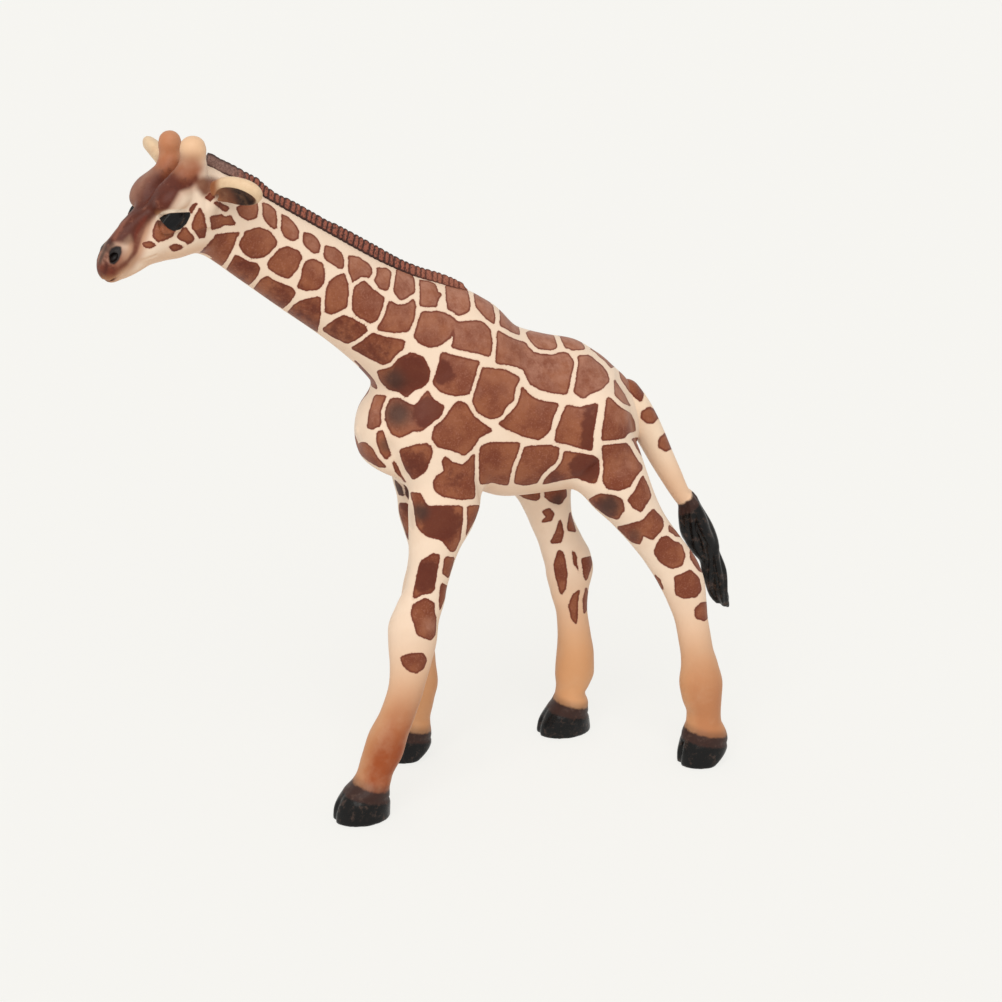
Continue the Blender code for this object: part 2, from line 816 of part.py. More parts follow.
def strip(name, path, crest, half_wide, bottom, tops):
    """A strip of square section along a path, with a height for each point."""
    rings = []
    for point, top in zip(path, tops):
        low = point - crest * bottom
        high = point + crest * top
        rings.append(
            [
                low - ACROSS * half_wide,
                low + ACROSS * half_wide,
                high + ACROSS * half_wide * MANE_TAPER_SHARE,
                high - ACROSS * half_wide * MANE_TAPER_SHARE,
            ]
        )
    return loft(name, rings)


def make_mane():
    """The ribbed mane strip, low at the withers and full at the head."""
    path, crest = mane_path()
    tops = []
    for step in range(len(path)):
        grown = min(1, MANE_LOW_SHARE + step / (len(path) * MANE_GROWTH_SHARE))
        rib = 1 if step % 2 else MANE_DIP_SHARE
        tops.append(MANE_HEIGHT * grown * rib)
    return strip("mane_strip", path, crest, MANE_WIDTH / 2, MANE_SEAT, tops)


def mane_groove():
    """The groove that the mane strip lies in."""
    path, crest = mane_path()
    forward = neck_axis()[0]
    path = [path[0] - forward * FIT_GAP, *path[1:-1:4], path[-1] + forward * FIT_GAP]
    tops = [MANE_HEIGHT for _ in path]
    return strip("groove", path, crest, MANE_WIDTH / 2 + FIT_GAP, MANE_SEAT + FIT_GAP, tops)


def make_neck():
    """The neck with its base peg, head socket and mane groove."""
    made = loft("neck", neck_rings())
    join(made, neck_peg(0))
    cut(made, spigot(FIT_GAP), mane_groove())
    return made


def tail_root():
    """Where the tail leaves the rump."""
    return barrel_point(TAIL_PLACE_SHARE, TAIL_RISE_SHARE)


def tail_direction():
    """The way the tail's root points."""
    return Vector((cos(TAIL_DROOP), 0, -sin(TAIL_DROOP)))


def tail_peg(gap):
    """The tail's peg, or its socket between the torso halves."""
    direction = tail_direction()
    radius = TAIL_PEG_RADIUS + gap
    return plug(
        "tail_peg",
        tail_root() + direction * OVERRUN,
        -direction,
        ACROSS,
        radius,
        radius,
        TAIL_PEG_LENGTH + OVERRUN + gap,
    )


def tail_points():
    """The tail's middle line, with its half thickness at each point."""
    root = tail_root()
    points = []
    for back, drop, half in TAIL_SHARES:
        sideways = TAIL_LENGTH * TAIL_DRIFT_SHARE * drop
        offset = Vector((TAIL_LENGTH * back, sideways, -TAIL_LENGTH * drop))
        points.append((root + offset, TAIL_WIDTH * half))
    return points


def tail_blade(gap):
    """Tail and tuft, or with a gap the seat for the root in the rump."""
    points = tail_points()
    rings = []
    for i, (point, half) in enumerate(points):
        if i == 0:
            tangent = tail_direction()
            point = point - tangent * gap
        else:
            tangent = (points[min(i + 1, len(points) - 1)][0] - points[i - 1][0]).normalized()
        back = tangent.cross(ACROSS).normalized()
        rings.append(ring(point, ACROSS, back, half + gap, half + gap, TAIL_SIDES))
    return loft("tail", rings)


def make_tail():
    """Tail and tuft on a peg."""
    made = tail_blade(0)
    join(made, tail_peg(0))
    return made


def side_legs(side):
    """The front and the hind leg of one side."""
    front, hind = [leg for leg in LEGS.values() if leg.side == side]
    return front, hind


def half_space(side):
    """A box over one half of the torso, up to the middle gap."""
    reach = Vector((BARREL_LENGTH, BARREL_WIDTH, BARREL_DEPTH)) * 2
    near = side * SEAM_GAP / 2
    far = side * reach.y
    low = Vector((-reach.x, min(near, far), DATUM.z - reach.z))
    high = Vector((reach.x, max(near, far), DATUM.z + reach.z))
    return block("half", low, high)


def make_torso_half(side):
    """Half of the torso, with its shoulder and thigh and every seat in it."""
    made = make_barrel()
    join(made, loft("neck_base", neck_base_rings()))
    combine(made, half_space(side), "INTERSECT")
    front, hind = side_legs(side)
    join(made, limb_mass(front, SHOULDER_PLACE, SHOULDER_SPREAD, SHOULDER_SHARES))
    join(made, limb_mass(hind, HIP_PLACE, HIP_SPREAD, THIGH_SHARES))
    cut(made, make_hollow(), neck_peg(FIT_GAP), mane_groove())
    cut(made, tail_blade(FIT_GAP), tail_peg(FIT_GAP))
    cut(made, leg_peg(front, FIT_GAP), leg_peg(hind, FIT_GAP))
    for middle in pin_places():
        if side == LEFT:
            join(made, torso_pin(middle, 0))
        else:
            cut(made, torso_pin(middle, FIT_GAP))
    return made


def pin_places():
    """The middles of the pins that line the halves up."""
    front = barrel_point(PIN_FRONT_SHARE, PIN_FRONT_RISE_SHARE)
    return front, barrel_point(PIN_REAR_SHARE, PIN_REAR_RISE_SHARE)


def torso_pin(middle, gap):
    """One locating pin, or the hole for it, across the middle plane."""
    radius = PIN_RADIUS + gap
    base = middle - ACROSS * (SEAM_GAP / 2 + OVERRUN)
    return plug("pin", base, ACROSS, ALONG, radius, radius, PIN_LENGTH + OVERRUN + gap)


def finish(name, made, finish_material):
    """Give a piece its name, its finish and smooth shading."""
    made.name = name
    made.data.materials.clear()
    made.data.materials.append(finish_material)
    made.data.shade_smooth()
    made.data.set_sharp_from_angle(angle=CREASE_ANGLE)


def centre_on_origin(pieces):
    """Hang the pieces from an empty that centres their common box."""
    bpy.context.view_layer.update()
    corners = [made.matrix_world @ Vector(corner) for made in pieces for corner in made.bound_box]
    middle_x = (min(c.x for c in corners) + max(c.x for c in corners)) / 2
    middle_y = (min(c.y for c in corners) + max(c.y for c in corners)) / 2
    stand = bpy.data.objects.new("stand", None)
    bpy.context.scene.collection.objects.link(stand)
    for made in pieces:
        made.parent = stand
    stand.location = Vector((-middle_x, -middle_y, 0))


def main():
    """Build every piece and stand the figure on the origin."""
    clear_scene()
    coat = material("painted_coat", PATCH_BROWN, 0.45)
    cream = material("cream_pvc", CREAM, 0.5)
    mane_finish = material("mane_brown", MANE_BROWN, 0.6)
    leg_finish = material("leg_paint", PEACH, 0.45)
    pieces = []
    for name, made, look in (
        ("torso_left_shell", make_torso_half(LEFT), coat),
        ("torso_right_shell", make_torso_half(RIGHT), coat),
        ("neck", make_neck(), coat),
        ("head", make_head(), cream),
        ("ear_left", make_ear(LEFT), cream),
        ("ear_right", make_ear(RIGHT), cream),
        ("mane_strip", make_mane(), mane_finish),
        ("tail", make_tail(), cream),
        *((name, make_leg(leg), leg_finish) for name, leg in LEGS.items()),
    ):
        finish(name, made, look)
        pieces.append(made)
    centre_on_origin(pieces)


main()
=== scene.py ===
"""A toy giraffe's looks: a sculpted skin over the CAD pieces, painted by hand.

The sculpt is worked out in millimetres in the sketch frame: +Z up, the animal faces -X,
its left side is -Y, and Y = 0 is the middle plane. STAND moves it onto the CAD's origin.
"""

import bmesh
import bpy
import numpy as np
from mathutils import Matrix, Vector


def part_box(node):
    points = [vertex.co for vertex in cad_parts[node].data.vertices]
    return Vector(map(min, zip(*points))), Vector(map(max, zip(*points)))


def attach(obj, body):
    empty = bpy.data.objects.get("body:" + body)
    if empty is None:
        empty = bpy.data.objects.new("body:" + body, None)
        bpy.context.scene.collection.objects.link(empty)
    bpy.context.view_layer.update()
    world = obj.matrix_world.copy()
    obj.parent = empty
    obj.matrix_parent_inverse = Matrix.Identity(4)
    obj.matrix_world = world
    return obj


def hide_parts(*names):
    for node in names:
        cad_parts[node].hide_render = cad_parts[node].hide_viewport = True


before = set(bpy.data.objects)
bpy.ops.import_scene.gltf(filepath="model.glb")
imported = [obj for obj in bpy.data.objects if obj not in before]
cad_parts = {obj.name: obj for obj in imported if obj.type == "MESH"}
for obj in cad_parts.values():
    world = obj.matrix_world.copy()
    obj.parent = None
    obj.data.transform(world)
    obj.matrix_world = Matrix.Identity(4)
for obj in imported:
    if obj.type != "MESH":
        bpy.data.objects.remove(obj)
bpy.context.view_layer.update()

MM = 0.001
NOSE_TO_SKETCH = 78.87  # from the sketch's origin to the front of the CAD box

# The photograph's camera, about the sketch frame
CAMERA_AZIMUTH = np.radians(-20)
CAMERA_ELEVATION = np.radians(20)
CAMERA_DISTANCE = 494.0
CAMERA_TARGET = np.array((0.0, -25.7, 75.0))
LENS = 85.0
SENSOR = 36.0
PHOTO_SIDE = 1002
PHOTO_MIDDLE = PHOTO_SIDE / 2
PIXELS_PER_MM = 4.65

# Fineness
BODY_STEP = 0.5
HEAD_STEP = 0.22
EAR_STEP = 0.2
TAIL_STEP = 0.28

# Floor, in metres, and the background's colour
FLOOR_HALF = 3.0
FLOOR_LEVEL = -0.00005
PAPER = (247, 246, 242)

# Light: how bright the surround is, and the sun's way, strength and width in degrees
SURROUND = 0.55
SUN = ((0.38, 0.78, -0.92), 1.75, 50)

# Value of a field far from its form
FAR = 60.0

# Seams and directions, from the CAD
LEG_SEAM = 65.15
NECK_SLOPE = np.radians(35.6)
NECK_ROOT = np.array((0.0, 0.0, 96.88))
NECK_LENGTH = 67.0
NECK_SEAM = 0.321 * NECK_LENGTH - 0.15
HEAD_SEAM = 0.982 * NECK_LENGTH
HEAD_TURN = np.radians(22.7)
HEAD_DROOP = np.radians(26.0)
HEAD_BASE = np.array((-55.34, -0.68, 140.53))

# Bands on the body: what parts the front legs from the hind ones along X, and heights
BETWEEN_LEGS = 12.0
BELOW_BELLY = 68.0
LEG_PAINT_TOP = 62.0
LEG_TOP = 88.0
LEG_FADE = (66.0, 84.0)

# Barrel: place along it, middle height, half depth, half width, narrowing upwards
BARREL = (
    (-23.6, 85.2, 0.5, 0.5, 0.0),
    (-23.0, 84.2, 3.8, 3.5, 0.0),
    (-20.9, 84.2, 7.8, 7.6, 0.05),
    (-16.0, 85.6, 12.2, 10.4, 0.10),
    (-8.3, 88.6, 17.9, 12.3, 0.15),
    (0.0, 91.2, 21.5, 12.9, 0.20),
    (6.4, 89.0, 21.4, 13.3, 0.20),
    (13.1, 85.75, 18.95, 13.5, 0.18),
    (20.0, 84.55, 17.65, 13.3, 0.18),
    (26.2, 83.8, 16.8, 13.0, 0.20),
    (32.0, 82.0, 14.9, 11.2, 0.22),
    (37.1, 80.9, 11.3, 6.8, 0.20),
    (40.0, 80.9, 7.8, 3.8, 0.10),
    (41.9, 80.9, 4.0, 2.0, 0.0),
    (42.6, 80.9, 0.6, 0.6, 0.0),
)

# Neck: place along it, rise, half depth, half width, narrowing towards the crest
NECK = (
    (-12.0, 0.0, 9.0, 9.0, 0.1),
    (-6.7, -0.5, 11.2, 9.6, 0.15),
    (0.0, -0.4, 14.0, 10.6, 0.2),
    (6.7, 0.0, 14.4, 10.3, 0.25),
    (12.5, 0.08, 13.4, 9.6, 0.28),
    (21.5, 0.16, 11.15, 8.3, 0.28),
    (31.2, 0.14, 9.92, 7.3, 0.25),
    (42.1, 0.12, 9.35, 6.6, 0.22),
    (53.3, 0.16, 8.7, 6.0, 0.18),
    (60.3, 0.25, 8.35, 5.7, 0.12),
    (66.0, 0.2, 8.2, 5.4, 0.05),
    (69.0, 0.0, 7.0, 5.0, 0.0),
    (71.0, 0.0, 3.0, 3.0, 0.0),
)

# Legs: height, middle along X, half depth, middle towards the animal's left, half width
FRONT_LEFT = (
    (-3.0, -28.2, 6.40, 13.0, 5.0),
    (0.0, -28.1, 6.40, 13.0, 5.0),
    (2.5, -27.9, 6.35, 12.9, 5.0),
    (6.4, -26.8, 5.2, 12.7, 4.7),
    (8.0, -25.7, 4.4, 12.6, 4.4),
    (10.0, -24.7, 4.10, 12.5, 3.8),
    (14.0, -22.9, 4.60, 12.4, 3.9),
    (18.5, -21.4, 4.50, 12.2, 4.0),
    (24.0, -18.7, 4.15, 11.9, 3.3),
    (29.0, -16.9, 4.10, 11.7, 3.2),
    (34.0, -15.8, 4.60, 11.4, 3.5),
    (39.0, -15.2, 5.35, 11.2, 4.2),
    (43.0, -14.9, 5.55, 11.0, 4.5),
    (48.0, -13.15, 5.3, 10.9, 4.0),
    (52.0, -11.7, 4.65, 10.8, 3.8),
    (56.0, -10.65, 4.85, 10.7, 4.0),
    (60.0, -9.75, 5.6, 10.5, 4.7),
    (65.0, -8.0, 7.15, 10.0, 5.4),
    (70.0, -6.9, 8.0, 9.3, 5.8),
    (76.0, -6.0, 8.1, 8.2, 5.9),
    (82.0, -6.4, 8.00, 6.8, 5.6),
    (88.0, -6.2, 6.40, 5.6, 4.4),
    (92.5, -6.2, 3.60, 4.6, 2.6),
)
FRONT_RIGHT = (
    (-3.0, -9.3, 6.0, -13.0, 4.9),
    (0.0, -9.3, 6.0, -13.0, 4.9),
    (2.5, -9.2, 5.9, -12.9, 4.9),
    (6.4, -8.8, 5.3, -12.7, 4.6),
    (8.0, -8.4, 4.7, -12.6, 4.3),
    (10.0, -7.9, 4.2, -12.5, 3.7),
    (14.0, -7.3, 4.5, -12.4, 3.9),
    (18.5, -6.4, 4.5, -12.2, 4.0),
    (24.0, -6.5, 4.05, -11.9, 3.3),
    (29.0, -6.7, 3.95, -11.7, 3.2),
    (34.0, -6.7, 4.3, -11.4, 3.5),
    (39.0, -6.0, 4.6, -11.2, 4.2),
    (43.0, -5.4, 4.6, -11.0, 4.5),
    (48.0, -4.4, 4.5, -10.9, 4.0),
    (52.0, -4.0, 4.6, -10.8, 3.9),
    (56.0, -4.4, 5.2, -10.7, 4.1),
    (60.0, -4.7, 6.1, -10.5, 4.7),
    (65.0, -4.2, 7.2, -10.0, 5.4),
    (70.0, -4.75, 7.95, -9.3, 5.8),
    (76.0, -5.5, 8.3, -8.2, 5.9),
    (82.0, -6.0, 8.0, -6.8, 5.6),
    (88.0, -6.2, 6.4, -5.6, 4.4),
    (92.5, -6.2, 3.6, -4.6, 2.6),
)
REAR_LEFT = (
    (-3.0, 53.5, 5.8, 13.0, 4.9),
    (0.0, 54.0, 5.8, 13.0, 4.9),
    (2.5, 54.2, 5.95, 12.9, 4.9),
    (6.2, 54.6, 5.55, 12.7, 4.7),
    (8.0, 54.6, 4.9, 12.6, 4.5),
    (10.0, 54.5, 4.1, 12.5, 3.8),
    (12.0, 54.5, 4.0, 12.4, 3.65),
    (15.5, 54.0, 4.65, 12.3, 3.9),
    (19.5, 53.7, 5.1, 12.1, 4.1),
    (24.0, 53.3, 4.35, 11.9, 3.6),
    (28.5, 52.4, 3.85, 11.7, 3.3),
    (34.0, 51.4, 3.85, 11.4, 3.3),
    (40.0, 50.0, 4.6, 11.1, 3.6),
    (45.0, 48.45, 5.5, 10.9, 3.9),
    (50.0, 45.95, 6.0, 10.6, 4.0),
    (55.0, 42.4, 6.1, 10.3, 4.35),
    (60.0, 38.55, 6.45, 10.0, 5.0),
    (65.0, 34.8, 7.6, 9.7, 5.8),
    (70.0, 32.15, 8.4, 9.3, 6.2),
    (76.0, 29.9, 9.0, 7.8, 6.3),
    (82.0, 28.5, 7.9, 7.1, 5.7),
    (88.0, 28.8, 6.6, 5.8, 4.6),
    (92.0, 29.0, 3.8, 4.8, 2.6),
)
REAR_RIGHT = (
    (-3.0, 29.7, 6.4, -13.0, 5.0),
    (0.0, 29.9, 6.6, -13.0, 5.0),
    (2.5, 29.9, 6.3, -12.9, 5.0),
    (6.0, 30.6, 5.1, -12.7, 4.7),
    (8.0, 31.3, 4.2, -12.6, 4.5),
    (10.0, 31.3, 3.5, -12.5, 3.8),
    (12.0, 31.9, 4.0, -12.4, 3.65),
    (15.0, 32.3, 4.7, -12.3, 3.9),
    (20.0, 32.3, 4.45, -12.1, 4.1),
    (25.0, 31.9, 3.95, -11.8, 3.6),
    (30.5, 31.2, 3.7, -11.6, 3.3),
    (36.5, 30.4, 4.6, -11.3, 3.4),
    (42.0, 30.2, 5.7, -11.0, 3.9),
    (46.0, 29.25, 5.75, -10.8, 4.0),
    (50.0, 27.6, 5.35, -10.6, 4.0),
    (55.0, 25.3, 5.2, -10.3, 4.3),
    (60.0, 23.7, 5.95, -10.0, 4.9),
    (65.0, 22.3, 7.8, -9.7, 5.8),
    (70.0, 24.0, 8.9, -9.3, 6.2),
    (76.0, 27.0, 9.4, -8.6, 6.2),
    (82.0, 28.4, 8.9, -7.3, 5.8),
    (88.0, 29.0, 6.8, -5.8, 4.6),
    (92.0, 29.0, 3.8, -4.8, 2.6),
)

# Head, in its own frame: place forward, rise, half depth, half width, narrowing upwards
SKULL = (
    (-4.0, -3.4, 6.0, 4.4, 0.0),
    (-1.5, -3.5, 8.3, 5.1, 0.0),
    (1.5, -3.4, 9.0, 5.6, 0.05),
    (5.0, -2.9, 8.1, 6.0, 0.10),
    (9.0, -2.6, 7.3, 6.1, 0.20),
    (12.0, -2.3, 6.6, 5.6, 0.25),
    (15.5, -1.35, 5.95, 4.3, 0.25),
    (19.5, -0.85, 5.0, 3.5, 0.18),
    (22.5, -0.95, 4.2, 3.2, 0.05),
    (24.9, -1.35, 3.5, 3.2, 0.0),
    (26.8, -1.75, 2.7, 2.6, 0.0),
    (28.0, -1.95, 1.35, 1.35, 0.0),
    (28.3, -2.0, 0.3, 0.3, 0.0),
)

# Ossicones: height above the foot, radius
OSSICONE = (
    (-4.0, 2.9),
    (0.0, 2.75),
    (3.0, 2.6),
    (6.0, 2.4),
    (8.8, 2.35),
    (10.8, 2.55),
    (12.3, 2.25),
    (13.4, 1.3),
    (13.7, 0.3),
)

# Patches, read as outlines on enlarged crops of the photograph.
# Each crop is its left and top pixel and its enlargement.
NECK_CROP = (80, 110, 3.7333)
BODY_CROP = (330, 250, 3.8244)
LEGS_CROP = (320, 450, 3.7333)

NECK_PATCHES = (
    ((585, 365), (622, 350), (662, 345), (668, 372), (655, 402), (630, 410), (602, 398)),
    ((680, 345), (705, 355), (728, 375), (738, 400), (735, 438), (722, 442), (695, 415), (682, 385)),
    ((748, 388), (775, 400), (800, 425), (817, 455), (815, 478), (795, 487), (765, 472), (752, 445)),
    ((835, 460), (862, 463), (885, 482), (897, 510), (893, 530), (872, 533), (845, 510), (833, 485)),
    ((915, 508), (950, 515), (975, 535), (985, 560), (980, 588), (968, 590), (940, 570), (918, 558),
     (910, 530)),
    ((1003, 545), (1040, 550), (1080, 580), (1097, 610), (1075, 625), (1048, 625), (1015, 645),
     (1005, 600)),
    ((1108, 590), (1145, 592), (1165, 610), (1158, 645), (1148, 672), (1120, 665), (1100, 635)),
    ((1180, 600), (1205, 580), (1230, 600), (1250, 640), (1250, 675), (1225, 700), (1195, 708), (1175, 680),
     (1172, 640)),
    ((1265, 635), (1300, 640), (1325, 650), (1335, 680), (1350, 690), (1335, 705), (1330, 732), (1300, 735),
     (1270, 728), (1272, 690), (1268, 655)),
    ((1365, 655), (1405, 640), (1445, 670), (1458, 720), (1450, 750), (1418, 765), (1375, 745),
     (1368, 700)),
    ((1470, 670), (1510, 700), (1545, 735), (1556, 770), (1545, 797), (1515, 775), (1485, 740),
     (1472, 715)),
    ((598, 480), (620, 455), (665, 440), (710, 455), (733, 490), (728, 520), (690, 545), (640, 555),
     (610, 530), (595, 500)),
    ((702, 572), (735, 522), (775, 512), (812, 525), (830, 555), (805, 600), (775, 628), (735, 610),
     (705, 590)),
    ((835, 570), (870, 558), (905, 575), (912, 610), (908, 650), (885, 668), (840, 672), (813, 662),
     (830, 620)),
    ((925, 650), (955, 625), (985, 612), (1000, 640), (1000, 700), (995, 735), (965, 750), (935, 762),
     (913, 750), (920, 700)),
    ((1020, 690), (1030, 655), (1060, 635), (1085, 665), (1140, 705), (1130, 745), (1110, 780), (1085, 795),
     (1040, 775), (1018, 745)),
    ((1150, 710), (1185, 730), (1215, 728), (1240, 705), (1252, 725), (1245, 780), (1225, 825), (1170, 828),
     (1112, 820), (1135, 770)),
    ((1275, 755), (1330, 752), (1380, 765), (1410, 795), (1460, 790), (1500, 790), (1530, 820), (1538, 870),
     (1530, 918), (1480, 905), (1430, 895), (1390, 885), (1398, 850), (1395, 815), (1380, 850), (1360, 865),
     (1335, 880), (1305, 885), (1270, 870), (1248, 845), (1262, 800)),
    ((510, 468), (555, 460), (600, 460), (575, 500), (545, 560), (508, 616), (426, 560), (485, 500)),
    ((580, 542), (610, 558), (660, 575), (670, 592), (655, 632), (606, 690), (556, 668), (518, 626),
     (565, 570)),
    ((700, 622), (735, 645), (790, 665), (803, 685), (780, 720), (728, 786), (664, 744), (610, 694),
     (675, 635)),
    ((895, 698), (898, 750), (882, 856), (800, 820), (734, 778), (820, 715)),
    ((985, 768), (1015, 780), (1060, 800), (1072, 825), (1040, 855), (1000, 872), (950, 850), (903, 820),
     (945, 790)),
    ((1090, 835), (1140, 850), (1210, 862), (1205, 890), (1175, 915), (1160, 940), (1130, 950), (1060, 915),
     (1012, 888), (1060, 855)),
    ((1110, 975), (1155, 965), (1190, 930), (1240, 908), (1280, 925), (1305, 975), (1300, 1010),
     (1275, 1035), (1250, 1040), (1220, 1070), (1190, 1050), (1150, 1040), (1120, 1010)),
    ((1350, 905), (1390, 918), (1440, 930), (1490, 940), (1480, 985), (1465, 1030), (1450, 1060),
     (1400, 1065), (1345, 1050), (1318, 1015), (1335, 975), (1345, 940)),
)
BODY_PATCHES = (
    ((235, 570), (265, 570), (300, 590), (325, 600), (350, 570), (372, 540), (395, 575), (435, 600),
     (420, 640), (380, 665), (350, 690), (320, 690), (270, 715), (240, 705), (222, 670), (205, 620),
     (215, 590)),
    ((490, 580), (520, 590), (550, 640), (620, 690), (570, 715), (545, 755), (515, 785), (470, 765),
     (390, 745), (395, 700), (405, 670), (445, 640), (470, 600)),
    ((580, 450), (620, 455), (670, 460), (725, 490), (705, 530), (700, 575), (670, 600), (655, 635),
     (615, 645), (565, 620), (548, 580), (560, 520), (570, 480)),
    ((735, 525), (765, 560), (800, 578), (875, 590), (850, 640), (840, 690), (800, 725), (740, 710),
     (690, 690), (645, 665), (680, 635), (715, 600), (730, 560)),
    ((905, 595), (960, 605), (1022, 588), (1015, 640), (1005, 690), (1000, 770), (960, 755), (905, 740),
     (862, 735), (868, 690), (890, 630)),
    ((1062, 562), (1100, 590), (1150, 625), (1165, 660), (1170, 700), (1140, 715), (1090, 722), (1040, 728),
     (1050, 650)),
    ((640, 310), (680, 320), (715, 345), (745, 355), (780, 395), (830, 400), (905, 392), (935, 430),
     (920, 480), (905, 550), (850, 545), (800, 530), (765, 510), (740, 455), (700, 440), (635, 432),
     (640, 370)),
    ((950, 405), (1005, 402), (1050, 440), (1068, 500), (1040, 530), (1000, 545), (970, 565), (935, 545),
     (945, 490), (948, 450)),
    ((640, 220), (690, 250), (720, 285), (725, 325), (690, 320), (650, 285)),
    ((750, 315), (800, 300), (850, 310), (868, 370), (850, 385), (810, 380), (780, 365), (762, 340)),
    ((878, 325), (920, 325), (955, 345), (978, 378), (930, 382), (900, 372)),
    ((1088, 495), (1110, 520), (1130, 560), (1150, 600), (1120, 590), (1090, 555)),
    ((1105, 455), (1160, 505), (1205, 550), (1190, 580), (1150, 545), (1115, 505)),
    ((990, 370), (1045, 395), (1090, 445), (1070, 452), (1020, 410)),
    ((268, 765), (330, 748), (395, 740), (385, 790), (365, 845), (318, 878), (290, 840), (275, 800)),
    ((440, 790), (470, 815), (510, 825), (552, 780), (555, 850), (553, 950), (500, 952), (430, 940),
     (405, 920), (395, 890), (410, 865), (440, 845), (430, 810)),
    ((578, 750), (620, 738), (725, 738), (715, 790), (695, 840), (680, 900), (640, 893), (570, 895),
     (568, 820)),
    ((745, 755), (800, 750), (860, 748), (880, 765), (870, 805), (830, 840), (795, 890), (740, 900),
     (705, 890), (712, 830), (730, 790)),
    ((890, 770), (950, 780), (1000, 785), (1025, 800), (1028, 850), (1015, 890), (990, 885), (940, 868),
     (880, 880), (810, 898), (820, 870), (870, 835), (890, 800)),
    ((1040, 750), (1090, 745), (1150, 738), (1185, 790), (1195, 835), (1165, 870), (1145, 905), (1100, 918),
     (1060, 910), (1045, 880), (1050, 820)),
    ((425, 1275), (450, 1285), (440, 1330), (415, 1390)),
    ((320, 1345), (370, 1335), (400, 1355), (405, 1410), (403, 1470), (385, 1492), (335, 1470), (325, 1430),
     (312, 1395)),
    ((988, 955), (1030, 935), (1080, 940), (1115, 955), (1125, 990), (1100, 1030), (1060, 1018),
     (1010, 980)),
    ((1195, 862), (1215, 900), (1228, 940), (1190, 1000), (1160, 985), (1140, 955), (1170, 920)),
    ((1235, 990), (1265, 1020), (1280, 1050), (1240, 1108), (1195, 1090), (1185, 1125), (1150, 1115),
     (1095, 1060), (1150, 1050), (1200, 1035)),
    ((1290, 1045), (1345, 1095), (1320, 1100), (1300, 1080)),
    ((1260, 1100), (1300, 1095), (1345, 1130), (1357, 1170), (1345, 1205), (1310, 1217), (1265, 1195),
     (1240, 1155)),
    ((1375, 1120), (1410, 1125), (1450, 1155), (1455, 1200), (1445, 1245), (1410, 1225), (1380, 1180)),
    ((1320, 1250), (1350, 1240), (1378, 1225), (1410, 1255), (1420, 1300), (1400, 1325), (1350, 1330),
     (1322, 1315)),
    ((1395, 1375), (1420, 1350), (1450, 1345), (1452, 1395), (1435, 1418), (1400, 1405)),
    ((1240, 1240), (1262, 1262), (1275, 1300), (1255, 1290)),
    ((1144, 706), (1176, 714), (1208, 752), (1212, 806), (1182, 798), (1160, 764)),
)
KNEE_PATCHES = (
    ((302, 775), (340, 762), (385, 760), (398, 785), (385, 815), (360, 832), (330, 820), (310, 800)),
)
INNER_PATCHES = (
    ((720, 935), (800, 920), (805, 940), (790, 958), (750, 950)),
    ((822, 915), (860, 900), (900, 905), (905, 940), (880, 972), (845, 962), (818, 940)),
    ((812, 1000), (840, 990), (855, 1010), (845, 1035), (810, 1040), (830, 1020)),
    ((918, 1000), (930, 1040), (940, 1078), (908, 1070)),
    ((880, 1030), (892, 1075), (882, 1118), (845, 1120), (865, 1080)),
    ((875, 1150), (890, 1160), (905, 1230), (900, 1290), (885, 1318), (865, 1250), (858, 1200)),
    ((928, 1150), (945, 1180), (955, 1235), (935, 1200)),
    ((958, 1185), (1000, 1170), (1003, 1200), (980, 1265), (965, 1230)),
    ((955, 1300), (945, 1350), (942, 1428), (925, 1410), (915, 1360), (930, 1320)),
    ((980, 1290), (990, 1320), (985, 1370), (972, 1390), (968, 1330)),
)
TAIL_PATCHES = (
    ((1085, 440), (1125, 450), (1168, 492), (1196, 552), (1190, 578), (1168, 562), (1132, 520),
     (1090, 478)),
    ((1195, 620), (1220, 603), (1245, 615), (1252, 640), (1235, 660), (1210, 658), (1192, 640)),
    ((1262, 720), (1285, 703), (1300, 720), (1310, 755), (1280, 768), (1258, 750)),
)
HEAD_CROP = (90, 120, 8.2526)
FACE_PATCHES = (
    ((530, 900), (560, 830), (600, 850), (650, 900), (700, 912), (675, 955), (620, 985), (560, 1000),
     (525, 960)),
    ((720, 960), (780, 888), (850, 955), (852, 990), (800, 1022), (760, 1000)),
    ((660, 1052), (700, 1032), (772, 1028), (750, 1060), (690, 1076)),
    ((440, 1020), (490, 1008), (536, 1030), (500, 1052), (460, 1045)),
    ((905, 732), (932, 780), (955, 900), (942, 962), (905, 968), (850, 905), (850, 850), (882, 770)),
    ((878, 690), (862, 722), (838, 765), (828, 745), (850, 706)),
    ((955, 640), (1000, 608), (1022, 640), (990, 662)),
    ((1000, 800), (1080, 788), (1120, 800), (1150, 778), (1200, 862), (1120, 862), (1060, 885),
     (1008, 900)),
    ((1026, 680), (1070, 688), (1142, 722), (1132, 765), (1080, 722)),
)
NOSE_WASH = (
    ((95, 1060), (150, 960), (250, 800), (340, 690), (330, 600), (370, 500), (440, 440), (520, 400),
     (570, 330), (640, 300), (740, 300), (780, 390), (880, 400), (900, 500), (830, 560), (740, 590),
     (700, 660), (650, 740), (580, 770), (500, 800), (440, 860), (400, 940), (370, 1010), (330, 940),
     (270, 1000), (200, 1010), (140, 1060)),
)
# Painted highlight: a pale streak along the crest of the nose's bridge
PALE_STREAK = (
    ((330, 690), (380, 590), (440, 540), (505, 515), (500, 580), (440, 640), (380, 720)),
    ((404, 602), (454, 610), (385, 700), (330, 790), (258, 915), (206, 990), (182, 974), (248, 866),
     (330, 726)),
)
BRIDGE = (
    ((500, 640), (560, 700), (530, 790), (480, 850), (440, 900), (405, 960), (380, 1020), (340, 1010),
     (290, 1020), (245, 1008), (210, 985), (265, 920), (335, 815), (400, 730), (450, 680)),
)
